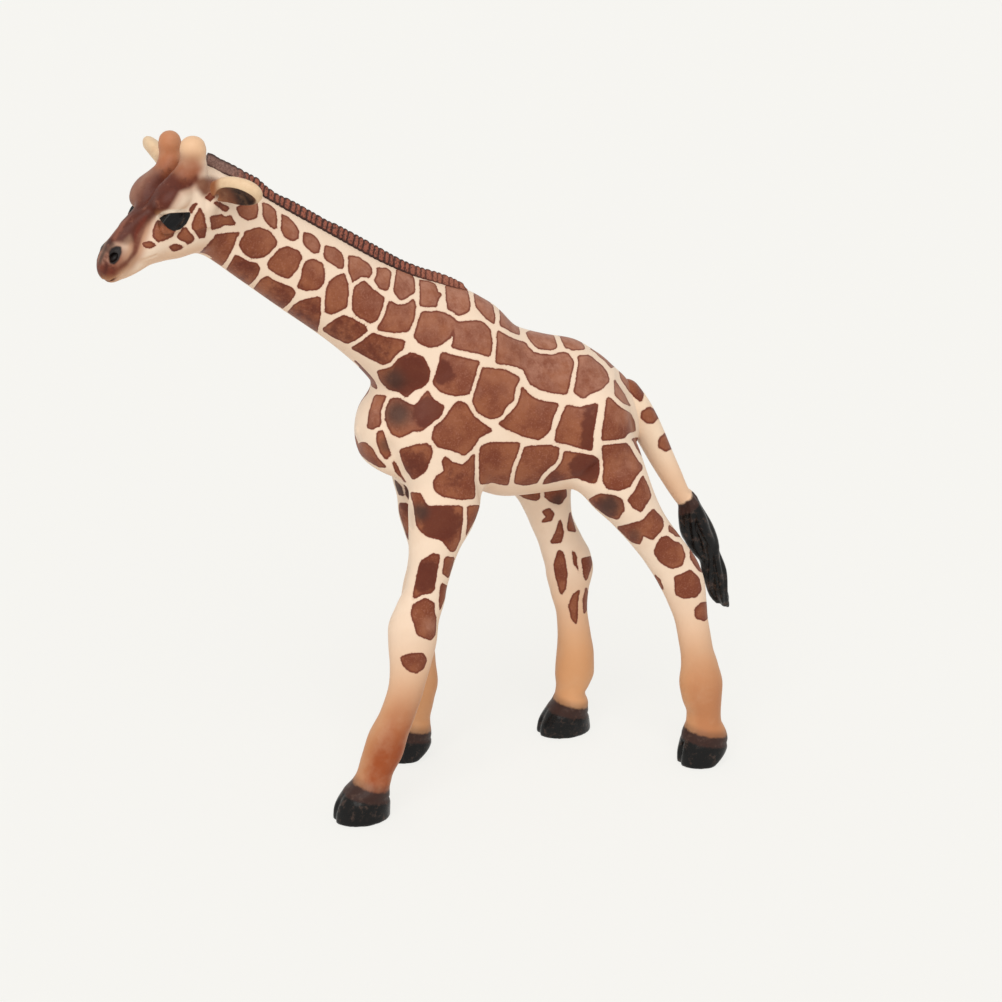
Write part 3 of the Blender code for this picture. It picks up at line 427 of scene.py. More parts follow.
LIP_WASH = (
    ((70, 1180), (120, 1200), (165, 1215), (230, 1205), (300, 1160), (310, 1195), (240, 1262), (170, 1330),
     (100, 1335), (55, 1290)),
)
MUZZLE_WASH = (
    ((50, 1230), (80, 1120), (150, 1060), (232, 1035), (272, 1075), (268, 1150), (230, 1205), (205, 1250),
     (215, 1290), (190, 1330), (110, 1340), (60, 1290)),
)
EAR_WASH = (
    ((860, 500), (920, 470), (1010, 470), (1080, 500), (1110, 600), (1060, 650), (930, 630), (880, 570)),
)
SMILE = (
    ((470, 790), (450, 880), (422, 980), (400, 1060), (385, 1100), (310, 1190), (240, 1235), (170, 1280),
     (160, 1262), (235, 1215), (300, 1165), (352, 1085), (365, 1005), (370, 930), (400, 860), (430, 800)),
)
NOSE_DARK = (
    ((60, 1150), (75, 1060), (120, 970), (190, 890), (205, 915), (165, 985), (135, 1055), (115, 1120),
     (85, 1190)),
)
LIP = (
    ((122, 1165), (152, 1180), (146, 1240), (118, 1290), (98, 1282), (122, 1230)),
)
EYE = (
    ((570, 812), (610, 785), (660, 768), (740, 764), (826, 760), (828, 790), (795, 858), (745, 903),
     (692, 917), (642, 893), (602, 850)),
)
NOSTRIL = (
    ((160, 1100), (180, 1062), (215, 1045), (252, 1050), (256, 1095), (232, 1155), (200, 1188),
     (168, 1180)),
)
# Places where the figure is darker or lighter, partly from its paint and partly painted shade and painted
# highlight: across and down the photograph, their size and their strength
# Painted shade on the shoulder, the top of the foreleg and the hind legs, over dark smudges of paint
SHADE_AND_SMUDGES = (
    (398, 414, 13.0, 1.0),
    (394, 380, 11.0, 0.8),
    (420, 512, 9.0, 0.95),
    (386, 445, 7.0, 0.7),
    (610, 505, 11.0, 0.9),
    (573, 515, 8.0, 0.9),
    (635, 535, 6.0, 0.6),
)
# Darker paint with painted shade: the chest, the forelegs, the belly, the hind legs and the lower neck
DEEP_PAINT_AND_SHADE = (
    (410, 376, 22.0, 0.95),
    (443, 372, 14.0, 0.75),
    (428, 412, 17.0, 0.95),
    (416, 464, 20.0, 0.55),
    (455, 480, 18.0, 0.45),
    (440, 520, 24.0, 0.8),
    (592, 414, 12.0, 0.65),
    (591, 425, 12.0, 0.75),
    (591, 436, 12.0, 0.85),
    (592, 446, 12.0, 0.85),
    (586, 468, 17.0, 0.95),
    (555, 478, 10.0, 0.5),
    (605, 508, 16.0, 0.6),
    (426, 576, 20.0, 0.75),
    (200, 216, 14.0, 0.42),
    (250, 272, 30.0, 0.42),
    (284, 294, 30.0, 0.42),
    (306, 316, 30.0, 0.44),
    (345, 331, 30.0, 0.46),
    (376, 352, 30.0, 0.46),
)
# Painted highlight, mostly on the upper body, with lighter rubbed paint
LIT_AND_RUBBED = (
    (540, 368, 26.0, 0.9),
    (598, 375, 16.0, 0.8),
    (624, 412, 13.0, 0.55),
    (626, 465, 13.0, 0.45),
    (475, 390, 9.0, 0.5),
    (476, 340, 14.0, 0.5),
    (430, 625, 8.0, 0.6),
)
CHEST_CROP = (335, 360, 6.5333)
CHEST_PATCHES = (
    ((130, 0), (200, 70), (262, 140), (274, 188), (236, 168), (175, 92), (120, 20)),
    ((260, 230), (332, 236), (322, 290), (300, 370), (292, 430), (240, 452), (214, 440), (226, 340)),
    ((278, 470), (312, 465), (340, 560), (372, 640), (330, 642), (300, 605), (276, 530)),
    ((140, 560), (170, 538), (205, 545), (245, 585), (276, 640), (330, 700), (290, 700), (220, 662),
     (165, 615)),
    ((372, 640), (402, 690), (440, 770), (462, 800), (425, 775), (392, 715)),
    ((492, 865), (558, 878), (600, 960), (640, 958), (830, 955), (840, 1060), (822, 1160), (772, 1272),
     (700, 1172), (620, 1155), (560, 1115), (535, 1080), (520, 960)),
    ((868, 958), (945, 948), (932, 1010), (882, 1100), (848, 1160), (860, 1040)),
    ((560, 1320), (640, 1268), (682, 1280), (660, 1400), (642, 1512), (560, 1532), (508, 1580),
     (530, 1450)),
    ((722, 1290), (785, 1278), (762, 1360), (742, 1425), (704, 1392)),
)
FAR_LEG_PATCHES = (
    ((390, 780), (432, 830), (446, 885), (418, 880), (400, 830)),
    ((420, 935), (472, 940), (484, 1010), (505, 1070), (510, 1180), (475, 1170), (440, 1060), (420, 990)),
)


def unit(vector):
    """The vector with length 1."""
    vector = np.asarray(vector, float)
    return vector / np.linalg.norm(vector)


def ramp(values, low, high):
    """0 below low, 1 above high and smooth between."""
    share = np.clip((values - low) / (high - low), 0, 1)
    return share * share * (3 - 2 * share)


def fade(values, low, high):
    """1 below low, 0 above high and smooth between."""
    return 1 - ramp(values, low, high)


NECK_ALONG = np.array((-np.cos(NECK_SLOPE), 0.0, np.sin(NECK_SLOPE)))
NECK_CREST = np.array((np.sin(NECK_SLOPE), 0.0, np.cos(NECK_SLOPE)))
HEAD_ALONG = -np.array(
    (np.cos(HEAD_TURN) * np.cos(HEAD_DROOP), np.sin(HEAD_TURN) * np.cos(HEAD_DROOP), np.sin(HEAD_DROOP))
)
HEAD_LEFT = np.array((np.sin(HEAD_TURN), -np.cos(HEAD_TURN), 0.0))
HEAD_UP = unit(np.cross(HEAD_ALONG, HEAD_LEFT))
SEAM_NORMAL = unit(NECK_ALONG + HEAD_ALONG)
SEAM_POINT = NECK_ROOT + NECK_ALONG * HEAD_SEAM
WORLD_X = np.array((1.0, 0.0, 0.0))
WORLD_Y = np.array((0.0, 1.0, 0.0))
WORLD_Z = np.array((0.0, 0.0, 1.0))
STAND = np.array((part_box("head")[0].x / MM + NOSE_TO_SKETCH, 0.0, 0.0))


def head_point(forward, rise, left):
    """A point of the sketch from a place in the head's own frame."""
    return HEAD_BASE + HEAD_ALONG * forward + HEAD_UP * rise + HEAD_LEFT * left


def slopes_at(xs, ys):
    """Slopes for a smooth curve through rows that never overshoots them."""
    gaps = np.diff(xs)[:, None]
    rises = np.diff(ys, axis=0) / gaps
    slopes = np.zeros_like(ys)
    before, after = rises[:-1], rises[1:]
    same = before * after > 0
    safe = np.where(same, before + after, 1.0)
    slopes[1:-1] = np.where(same, 2 * before * after / safe, 0.0)
    slopes[0], slopes[-1] = rises[0], rises[-1]
    return slopes


def curve_at(rows, places):
    """The rows' other values at places along their first value."""
    rows = np.asarray(rows, float)
    xs, ys = rows[:, 0], rows[:, 1:]
    slopes = slopes_at(xs, ys)
    places = np.clip(places, xs[0], xs[-1])
    i = np.clip(np.searchsorted(xs, places, side="right") - 1, 0, len(xs) - 2)
    gap = xs[i + 1] - xs[i]
    t = ((places - xs[i]) / gap)[..., None]
    gap = gap[..., None]
    made = (2 * t**3 - 3 * t**2 + 1) * ys[i] + (t**3 - 2 * t**2 + t) * gap * slopes[i]
    made = made + (3 * t**2 - 2 * t**3) * ys[i + 1] + (t**3 - t**2) * gap * slopes[i + 1]
    return made.astype(np.float32)


def dot(grid, way):
    """How far a grid's points reach along a direction."""
    return sum(axis * np.float32(part) for axis, part in zip(grid, way) if part != 0)


class Field:
    """A block of clay: how far each grid point is outside the form, in millimetres."""

    def __init__(self, low, high, step):
        self.low = np.array(low, float)
        self.step = step
        self.shape = tuple(int(np.ceil((b - a) / step)) + 1 for a, b in zip(low, high))
        self.axes = [(self.low[i] + step * np.arange(self.shape[i])).astype(np.float32) for i in range(3)]
        self.values = np.full(self.shape, FAR, np.float32)

    def window(self, low, high):
        """The slices of the grid that cover a box, or None outside it."""
        made = []
        for i in range(3):
            first = max(0, int(np.floor((low[i] - self.low[i]) / self.step)))
            last = min(self.shape[i], int(np.ceil((high[i] - self.low[i]) / self.step)) + 1)
            if last <= first:
                return None
            made.append(slice(first, last))
        return tuple(made)

    def points(self, window, origin):
        """The window's X, Y and Z from an origin, shaped to broadcast."""
        shapes = ((-1, 1, 1), (1, -1, 1), (1, 1, -1))
        return [
            axis[part].reshape(shape) - np.float32(start)
            for axis, part, shape, start in zip(self.axes, window, shapes, origin)
        ]

    def put(self, window, form, blend, carved=False):
        """Add a form, or take it away, with a fillet about as wide as the blend."""
        sign = -1 if carved else 1
        old = sign * self.values[window]
        share = np.clip(0.5 + 0.5 * (old - form) / max(blend, 1e-3), 0, 1)
        self.values[window] = sign * (old + (form - old) * share - blend * share * (1 - share))

    def sections(self, rows, origin, along, rise, across, blend, reach=9.0):
        """A form given by elliptic sections: place, middle and half size each way, narrowing."""
        rows = np.asarray(rows, float)
        corners = []
        for row in rows:
            middle = origin + along * row[0] + rise * row[1] + across * row[3]
            size = np.abs(rise) * row[2] + np.abs(across) * row[4] + reach
            corners += [middle - size, middle + size]
        window = self.window(np.min(corners, axis=0), np.max(corners, axis=0))
        if window is None:
            return
        grid = self.points(window, origin)
        place, u, v = (dot(grid, way) for way in (along, rise, across))
        table = curve_at(rows, place)
        tall = np.maximum(table[..., 1], 0.2)
        qu = (u - table[..., 0]) / tall
        wide = np.maximum(table[..., 3], 0.2) * (1 - table[..., 4] * np.clip(qu, -1, 1))
        qv = (v - table[..., 2]) / wide
        near = np.sqrt(qu * qu + qv * qv)
        slope = np.sqrt((qu / tall) ** 2 + (qv / wide) ** 2 + np.float32(1e-9))
        ends = np.maximum(np.float32(rows[0, 0]) - place, place - np.float32(rows[-1, 0]))
        form = np.maximum(near * (near - 1) / slope, ends)
        self.put(window, form.astype(np.float32), blend)

    def ball(self, middle, radii, blend=0.0, axes=None, carved=False, reach=3.0):
        """An ellipsoid."""
        radii = np.asarray(radii, float)
        axes = np.eye(3) if axes is None else np.asarray(axes, float)
        size = np.sqrt(((axes * radii[:, None]) ** 2).sum(0)) + reach + blend
        window = self.window(np.asarray(middle) - size, np.asarray(middle) + size)
        if window is None:
            return
        grid = self.points(window, middle)
        q = [dot(grid, axis) / np.float32(radius) for axis, radius in zip(axes, radii)]
        near = np.sqrt(sum(part**2 for part in q))
        slope = np.sqrt(sum((part / np.float32(r)) ** 2 for part, r in zip(q, radii)) + np.float32(1e-9))
        self.put(window, near * (near - 1) / slope, blend, carved)

    def tube(self, points, radii, blend=0.0, carved=False, reach=2.5):
        """A round form along a run of points."""
        points = np.asarray(points, float)
        radii = np.broadcast_to(np.asarray(radii, float), (len(points),))
        size = radii.max() + reach + blend
        window = self.window(points.min(0) - size, points.max(0) + size)
        if window is None:
            return
        form = np.full([part.stop - part.start for part in window], FAR, np.float32)
        for i in range(len(points) - 1):
            run = points[i + 1] - points[i]
            grid = self.points(window, points[i])
            t = np.clip(dot(grid, run) / float(run @ run), 0, 1)
            far = np.sqrt(sum((axis - t * np.float32(part)) ** 2 for axis, part in zip(grid, run)))
            form = np.minimum(form, far - (radii[i] + t * (radii[i + 1] - radii[i])))
        self.put(window, form.astype(np.float32), blend, carved)

    def shave(self, low, high, point, normal, blend):
        """Cut away what lies beyond a plane, inside a box."""
        window = self.window(low, high)
        self.put(window, -dot(self.points(window, point), normal), blend, True)

    def flatten(self, point, normal):
        """Cut away what lies beyond a plane."""
        beyond = dot(self.points((slice(None),) * 3, point), normal)
        self.values = np.maximum(self.values, beyond)

    def sample(self, points):
        """The field at points between the grid's own."""
        place = (points - self.low) / self.step
        base = np.clip(np.floor(place).astype(int), 0, np.array(self.shape) - 2)
        t = np.clip(place - base, 0, 1)
        made = np.zeros(len(points))
        for corner in np.ndindex(2, 2, 2):
            weight = np.prod(np.where(corner, t, 1 - t), axis=1)
            i, j, k = (base + corner).T
            made += weight * self.values[i, j, k]
        return made

    def slope(self, points):
        """The field's gradient at points."""
        made = np.zeros((len(points), 3))
        for i, step in enumerate(np.eye(3) * self.step):
            made[:, i] = self.sample(points + step) - self.sample(points - step)
        return made / (2 * self.step)


def skin(field):
    """Vertices and quads where the field is zero."""
    inside = field.values < 0
    shape = field.shape
    count = np.zeros([n - 1 for n in shape], np.int8)
    corners = list(np.ndindex(2, 2, 2))
    for i, j, k in corners:
        count += inside[i : shape[0] - 1 + i, j : shape[1] - 1 + j, k : shape[2] - 1 + k]
    cells = np.argwhere((count > 0) & (count < 8))
    index = np.full(count.shape, -1, np.int32)
    index[tuple(cells.T)] = np.arange(len(cells))
    total = np.zeros((len(cells), 3))
    number = np.zeros(len(cells))
    for a in corners:
        for b in corners:
            if sum(abs(p - q) for p, q in zip(a, b)) != 1 or a > b:
                continue
            first = field.values[tuple((cells + a).T)]
            second = field.values[tuple((cells + b).T)]
            crossed = (first < 0) != (second < 0)
            t = np.where(crossed, first / np.where(crossed, first - second, 1), 0)
            for axis in range(3):
                total[:, axis] += np.where(crossed, a[axis] + t * (b[axis] - a[axis]), 0)
            number += crossed
    vertices = (total / number[:, None] + cells) * field.step + field.low
    quads = []
    for axis in range(3):
        one, two = [other for other in range(3) if other != axis]
        near = [slice(None)] * 3
        far = [slice(None)] * 3
        near[axis] = slice(0, -1)
        far[axis] = slice(1, None)
        here, there = inside[tuple(near)], inside[tuple(far)]
        for flipped, crossing in enumerate((here & ~there, ~here & there)):
            edges = np.argwhere(crossing)
            keep = (edges[:, one] > 0) & (edges[:, two] > 0)
            keep &= (edges[:, one] < shape[one] - 1) & (edges[:, two] < shape[two] - 1)
            edges = edges[keep]
            ring = []
            for back_one, back_two in ((1, 1), (0, 1), (0, 0), (1, 0)):
                cell = edges.copy()
                cell[:, one] -= back_one
                cell[:, two] -= back_two
                ring.append(index[tuple(cell.T)])
            quad = np.stack(ring, 1)
            quads.append(quad[:, ::-1] if (flipped == 1) != (axis == 1) else quad)
    quads = np.concatenate(quads)
    return settle(field, vertices, quads), quads


def settle(field, vertices, quads, rounds=3):
    """Even the vertices out along the skin and put them back on it."""
    edges = np.concatenate([quads[:, [i, (i + 1) % 4]] for i in range(4)])
    number = np.bincount(edges.ravel(), minlength=len(vertices))
    for _ in range(rounds):
        mean = np.zeros_like(vertices)
        for axis in range(3):
            mean[:, axis] = np.bincount(edges[:, 0], vertices[edges[:, 1], axis], len(vertices))
            mean[:, axis] += np.bincount(edges[:, 1], vertices[edges[:, 0], axis], len(vertices))
        vertices = vertices + 0.5 * (mean / number[:, None] - vertices)
        slope = field.slope(vertices)
        steep = np.maximum((slope**2).sum(1), 0.2)
        move = np.clip(field.sample(vertices) / steep, -field.step, field.step)
        vertices = vertices - slope * move[:, None]
    return vertices


LEVEL = np.cos(CAMERA_ELEVATION)
BACK = np.array((np.sin(CAMERA_AZIMUTH) * LEVEL, -np.cos(CAMERA_AZIMUTH) * LEVEL, np.sin(CAMERA_ELEVATION)))
STANDPOINT = CAMERA_TARGET + BACK * CAMERA_DISTANCE
SIDEWAYS = unit(np.cross(-BACK, WORLD_Z))
UPRIGHT = np.cross(SIDEWAYS, -BACK)
FOCAL = LENS / SENSOR * PHOTO_SIDE


def photo_place(points):
    """The photograph's pixel at which each point is seen."""
    rays = points - STANDPOINT
    depth = -(rays @ BACK)
    across = PHOTO_MIDDLE + FOCAL * (rays @ SIDEWAYS) / depth
    return np.stack((across, PHOTO_MIDDLE - FOCAL * (rays @ UPRIGHT) / depth), -1)


def seen_at(crop, x, y, across):
    """The point seen at a crop's pixel, on the plane Y = across."""
    left, top, zoom = crop
    u, v = left + x / zoom - PHOTO_MIDDLE, top + y / zoom - PHOTO_MIDDLE
    ray = -BACK * FOCAL + SIDEWAYS * u - UPRIGHT * v
    return STANDPOINT + ray * (across - STANDPOINT[1]) / ray[1]


def whole(rows):
    """Rows for a form on the middle plane, with a middle across added."""
    return [(*row[:3], 0.0, *row[3:]) for row in rows]


def leg(rows):
    """Rows for a leg, with no narrowing added."""
    return [(*row, 0.0) for row in rows]


ORIGIN = np.zeros(3)
SIDES = (1, -1)
LEGS = {
    "front_left_leg": FRONT_LEFT,
    "front_right_leg": FRONT_RIGHT,
    "rear_left_leg": REAR_LEFT,
    "rear_right_leg": REAR_RIGHT,
}


def sculpt_neck(field):
    """The neck alone."""
    field.sections(whole(NECK), NECK_ROOT, NECK_ALONG, NECK_CREST, WORLD_Y, 3.5)


def head_ball(field, forward, rise, left, radii, blend, carved=False):
    """An ellipsoid along the head's own axes."""
    field.ball(head_point(forward, rise, left), radii, blend, (HEAD_ALONG, HEAD_UP, HEAD_LEFT), carved)


def head_tube(field, places, side, radii, blend, carved=False):
    """A round form along places in the head's frame, given for its left side."""
    points = [head_point(forward, rise, left * side) for forward, rise, left in places]
    field.tube(points, radii, blend, carved)


# Places on the head's left side: forward, rise, left
BROW_CREST = ((1.6, 6.0, 3.3), (5.0, 6.1, 3.1), (9.0, 5.5, 2.6), (13.0, 3.6, 1.5), (18.0, 3.0, 1.1))
EAR_FOOT = ((1.2, 0.4, 3.2), (0.6, 0.8, 6.0))
MOUTH = ((27.8, -3.2, 0.0), (26.5, -3.1, 2.6), (24.0, -3.0, 3.7), (20.5, -3.0, 4.0), (17.5, -3.6, 4.3))
EYE_FORWARD = 11.2
# Eyelids: half width, level, half height, distance out, radius, from and to which turn, points
LIDS = ((3.3, 0.8, 1.75, 6.1, 0.45, -0.3, np.pi + 0.3, 9), (3.2, 0.7, 1.8, 6.0, 0.35, np.pi, 2 * np.pi, 7))


def sculpt_ossicone(field, side):
    """One ossicone with its foot on the skull."""
    near = side > 0
    foot = head_point(-1.0, 11.5, 3.8 * side) - WORLD_Z * 13.0 + SIDEWAYS * (0.12 if near else 0.0)
    stout = 1.04 if near else 0.92
    rows = [(height, 0.0, radius * stout, 0.0, radius * stout, 0.0) for height, radius in OSSICONE]
    field.sections(rows, foot, WORLD_Z, WORLD_X, WORLD_Y, 1.8, 4.0)
    root = (foot + WORLD_Z * 3.0, foot + WORLD_X * 0.5, head_point(3.0, -1.0, 6.0 * side))
    field.tube(root, (2.3, 2.6, 1.6), 2.0)


def sculpt_head(field):
    """The head, without its ears."""
    field.sections(whole(SKULL), HEAD_BASE, HEAD_ALONG, HEAD_UP, HEAD_LEFT, 3.0)
    for side in SIDES:
        head_ball(field, 4.8, -5.0, 3.2 * side, (5.4, 4.4, 2.6), 2.0)  # jaw
        head_ball(field, 8.4, 4.1, 4.2 * side, (4.7, 3.0, 3.1), 2.6)  # brow
        if side < 0:
            head_ball(field, 7.6, 4.6, -4.1, (4.2, 2.65, 2.6), 1.0)  # the far brow, fuller
        head_tube(field, BROW_CREST, side, (2.4, 1.9, 1.5, 0.9, 0.6), 1.4)
        head_ball(field, 15.6, -2.0, 3.2 * side, (4.6, 2.0, 1.3), 1.6)  # cheek
        head_ball(field, 23.2, -0.2, 1.9 * side, (2.9, 2.1, 1.8), 1.2)  # side of the nose
        sculpt_ossicone(field, side)
        head_tube(field, EAR_FOOT, side, (2.7, 1.7), 1.8)
    head_ball(field, 21.0, -4.1, 0.0, (3.5, 1.3, 2.4), 1.6)  # chin
    for side in SIDES:
        head_ball(field, EYE_FORWARD, 0.7, 6.2 * side, (3.4, 1.9, 1.6), 0.5, True)  # socket
        head_ball(field, EYE_FORWARD, 0.75, 4.6 * side, (3.1, 2.0, 2.2), 0.25)  # eyeball
        for wide, level, tall, out, thick, start, end, count in LIDS:
            turns = [(np.cos(t), np.sin(t)) for t in np.linspace(start, end, count)]
            lid = [(EYE_FORWARD + wide * c, level + tall * s, out - 0.5 * abs(c)) for c, s in turns]
            head_tube(field, lid, side, thick, 0.5)
        head_ball(field, 25.1, 0.9, 2.3 * side, (1.25, 0.75, 0.8), 0.4, True)  # nostril
        head_tube(field, MOUTH, side, (0.25, 0.3, 0.35, 0.3, 0.15), 0.4, True)


def sculpt_body(field):
    """The barrel and the four legs, with their muscles."""
    field.sections(whole(BARREL), ORIGIN, WORLD_X, WORLD_Z, WORLD_Y, 7.0)
    for rows in LEGS.values():
        field.sections(leg(rows), ORIGIN, WORLD_Z, WORLD_X, -WORLD_Y, 3.5)


def mirrored(points):
    """The same points on the animal's right side, moved with its front leg."""
    points = np.array(points)
    left, right = (curve_at(leg(rows), points[:, 2])[:, 0] for rows in (FRONT_LEFT, FRONT_RIGHT))
    points[:, 0] += (right - left) * fade(points[:, 2], *LEG_FADE)
    points[:, 1] *= -1
    return points


# Creases of the left side: crop, places on it with how far across, radii, blend, and whether on both sides
CREASES = (
    (CHEST_CROP, ((335, 300, -7.5), (290, 400, -9.0), (320, 520, -9.5), (375, 640, -9.5), (440, 760, -9.0)),
     (0.3, 0.6, 0.8, 0.7, 0.4), 2.6, True),
    (BODY_CROP, ((900, 905, -12.5), (985, 870, -13.3), (1035, 800, -13.8), (1050, 730, -13.9)),
     (0.6, 0.5, 0.35, 0.1), 2.2, False),
    (BODY_CROP, ((590, 940, -12.0), (575, 860, -13.6), (560, 760, -14.2)), (0.9, 0.6, 0.3), 1.8, True),
    (CHEST_CROP, ((400, 215, -8.0), (600, 170, -12.2), (760, 60, -12.8)), (0.6, 0.7, 0.3), 2.4, True),
)


def sculpt_muscles(field):
    """Creases, and swellings that are the same on both sides."""
    for crop, places, radii, blend, both in CREASES:
        path = [seen_at(crop, *place) for place in places]
        field.tube(path, radii, blend, True)
        if both:
            field.tube(mirrored(path), radii, blend, True)
    for side in SIDES:
        field.ball((-9.5, -9.0 * side, 84.0), (6.0, 3.9, 9.0), 3.0)  # shoulder
        field.ball((28.0, -9.3 * side, 83.0), (7.0, 4.3, 8.5), 3.0)  # thigh
    # The chest's lower edge, between the front legs
    field.shave((-30, -14, 66), (-15.5, 14, 80), (-18.45, 0, 75.9), unit((-0.5, 0.0, -0.86)), 1.6)


GROOVE_HEIGHT = 5.4
GROOVE_OUT = 0.1
GROOVE_POINTS = 33
# Creases on a hoof's sides: ahead, out, height
HOOF_SIDE = ((1.2, 0.1, 5.8), (2.0, 0.25, 3.4), (3.0, 0.1, 1.0))
LIFTED_HEELS = ("front_right_leg", "rear_left_leg")


def sculpt_hooves(field):
    """Cloven hooves with a groove above each."""
    for name, rows in LEGS.items():
        sole, groove = curve_at(leg(rows), np.array((0.0, GROOVE_HEIGHT))).astype(float)
        x, deep, y, wide = groove[:4]
        ring = []
        for turn in np.linspace(0, 2 * np.pi, GROOVE_POINTS):
            ahead, out = (deep + GROOVE_OUT) * np.cos(turn), (wide + GROOVE_OUT) * np.sin(turn)
            ring.append((x + ahead, out - y, GROOVE_HEIGHT - 0.2 * deep * np.cos(turn)))
        field.tube(ring, 0.36, 0.5, True)
        x, deep, y, wide = sole[:4]
        y, toe = -y, x - deep
        cleft = ((toe - 0.5, y, -1.0), (toe + 0.1, y, 2.2), (toe + 1.3, y, 5.0), (toe + 2.6, y, 6.6))
        field.tube(cleft, (0.95, 0.8, 0.55, 0.2), 0.5, True)
        for side in SIDES:
            crease = [(x + ahead, y + side * (wide + out), height) for ahead, out, height in HOOF_SIDE]
            field.tube(crease, (0.35, 0.55, 0.25), 0.5, True)
        if name in LIFTED_HEELS:
            low, high = (x - 1, y - 8, -1.5), (x + 9, y + 8, 6.0)
            field.shave(low, high, (x + 1.5, y, 0.0), unit((0.52, 0.0, -0.85)), 1.2)
    field.flatten(ORIGIN, -WORLD_Z)


BODY_LOW, BODY_HIGH = (-68.0, -19.5, -1.5), (66.5, 19.5, 150.0)
HEAD_LOW, HEAD_HIGH = (-84.0, -14.0, 114.0), (-44.0, 14.0, 157.0)

body = Field(BODY_LOW, BODY_HIGH, BODY_STEP)
sculpt_body(body)
sculpt_neck(body)
sculpt_muscles(body)
sculpt_head(body)
sculpt_hooves(body)

head = Field(HEAD_LOW, HEAD_HIGH, HEAD_STEP)
sculpt_neck(head)
sculpt_head(head)


def rounded(outline):
    """An outline with its corners cut once."""
    outline = np.asarray(outline, float)
    after = np.roll(outline, -1, axis=0)
    return np.stack((outline * 0.9 + after * 0.1, outline * 0.1 + after * 0.9), 1).reshape(-1, 2)


def to_photo(crop, outlines):
    """A crop's outlines in the photograph's pixels."""
    left, top, zoom = crop
    return [rounded(outline) / zoom + np.array((left, top)) for outline in outlines]


def outside(place, outline):
    """How far each place is outside an outline, in pixels: negative inside."""
    nearest = np.full(len(place), np.inf)
    inside = np.zeros(len(place), bool)
    for start, end in zip(outline, np.roll(outline, -1, axis=0)):
        run = end - start
        away = place - start
        share = np.clip(away @ run / max(run @ run, 1e-9), 0, 1)
        nearest = np.minimum(nearest, ((away - share[:, None] * run) ** 2).sum(1))
        crossed = (start[1] > place[:, 1]) != (end[1] > place[:, 1])
        slant = (place[:, 1] - start[1]) * run[0] / (run[1] if run[1] else 1e-9) + start[0]
        inside ^= crossed & (place[:, 0] < slant)
    nearest = np.sqrt(nearest)
    return np.where(inside, -nearest, nearest)


LINE = 0.64  # half a cream line, with the brush's overrun


def pattern(place, outlines, reach=10.0):
    """How far each place is outside the nearest of the outlines, in millimetres on the figure."""
    first = np.full(len(place), reach)
    second = np.full(len(place), reach)
    for outline in outlines:
        low, high = outline.min(0) - reach, outline.max(0) + reach
        close = np.flatnonzero(((place > low) & (place < high)).all(1))
        if len(close):
            made = outside(place[close], outline)
            second[close] = np.minimum(second[close], np.maximum(first[close], made))
            first[close] = np.minimum(first[close], made)
    first, second = first / PIXELS_PER_MM, second / PIXELS_PER_MM
    gap = np.where(second > -LINE, LINE - (second - first) / 2, -9.0)
    return np.maximum(first, gap)


FACE = to_photo(HEAD_CROP, FACE_PATCHES)
COAT = (
    FACE
    + to_photo(NECK_CROP, NECK_PATCHES)
    + to_photo(BODY_CROP, BODY_PATCHES)
    + to_photo(LEGS_CROP, KNEE_PATCHES)
    + to_photo(CHEST_CROP, CHEST_PATCHES)
)
FAR_LEG = to_photo(CHEST_CROP, FAR_LEG_PATCHES)
INNER = to_photo(BODY_CROP, INNER_PATCHES)
TAIL_SPOTS = to_photo(BODY_CROP, TAIL_PATCHES)


def linear(colour):
    """A colour as a shader has it, from 0 to 255 values."""
    colour = np.asarray(colour, float) / 255
    return np.where(colour <= 0.04045, colour / 12.92, ((colour + 0.055) / 1.055) ** 2.4)


def layered(points, base, layers):
    """A base colour at each point, with colours laid over it in turn, each by its share there."""
    ground = np.tile(linear(base), (len(points), 1))
    for colour, share in layers:
        ground = ground + (linear(colour) - ground) * share[:, None]
    return ground


CREAM = (239, 215, 192)
PEACH = (216, 158, 108)
RUST = (152, 74, 34)
SOOT = (58, 38, 32)
EYE_CORNER = (161, 221)  # the photograph's pixel where the face is darkest, in front of the eye


def folded_leg(points, name):
    """Points of one leg, folded about its middle on to its outer side."""
    table = curve_at(leg(LEGS[name]), points[:, 2])
    middle = -table[:, 2]
    folded = points.copy()
    folded[:, 1] = middle - np.abs(points[:, 1] - middle)
    return folded, (points[:, 1] - middle) / np.maximum(table[:, 3], 1)


def on_left(points, name):
    """Points of a right leg moved to the same place of the left one."""
    here, there = (
        curve_at(leg(LEGS[which]), points[:, 2])[:, 0] for which in (name, name.replace("right", "left"))
    )
    moved = points.copy()
    front = "front" in name
    away = fade(points[:, 0], 0, BETWEEN_LEGS) if front else ramp(points[:, 0], BETWEEN_LEGS, 24)
    share = fade(points[:, 2], *LEG_FADE) * (1 - (1 - away) * ramp(points[:, 2], 60, BELOW_BELLY))
    moved[:, 0] += (there - here) * share
    moved[:, 1] *= -1
    return moved


def leg_pattern(name, spots, torso):
    """How far each spot of a leg is outside its patches; torso is the same for the body's patches."""
    upper = ramp(spots[:, 2], BELOW_BELLY - 4, BELOW_BELLY + 3)
    if "left" in name:
        folded, _ = folded_leg(spots, name)
        made = pattern(photo_place(folded), COAT)
        return made + (torso - made) * upper
    moved = on_left(spots, name)
    folded, _ = folded_leg(moved, name.replace("right", "left"))
    made = pattern(photo_place(folded), COAT)
    made = made + (pattern(photo_place(moved), COAT) - made) * upper
    if "front" in name:
        own = pattern(photo_place(spots), FAR_LEG)
        return np.minimum(made, own + 4 * ramp(spots[:, 1], 11.0, 14.0))
    folded, across = folded_leg(spots, name)
    inner = pattern(photo_place(folded), INNER)
    return np.where(spots[:, 2] < BELOW_BELLY + 1, inner + (made - inner) * ramp(across, -0.5, 0.3), made)


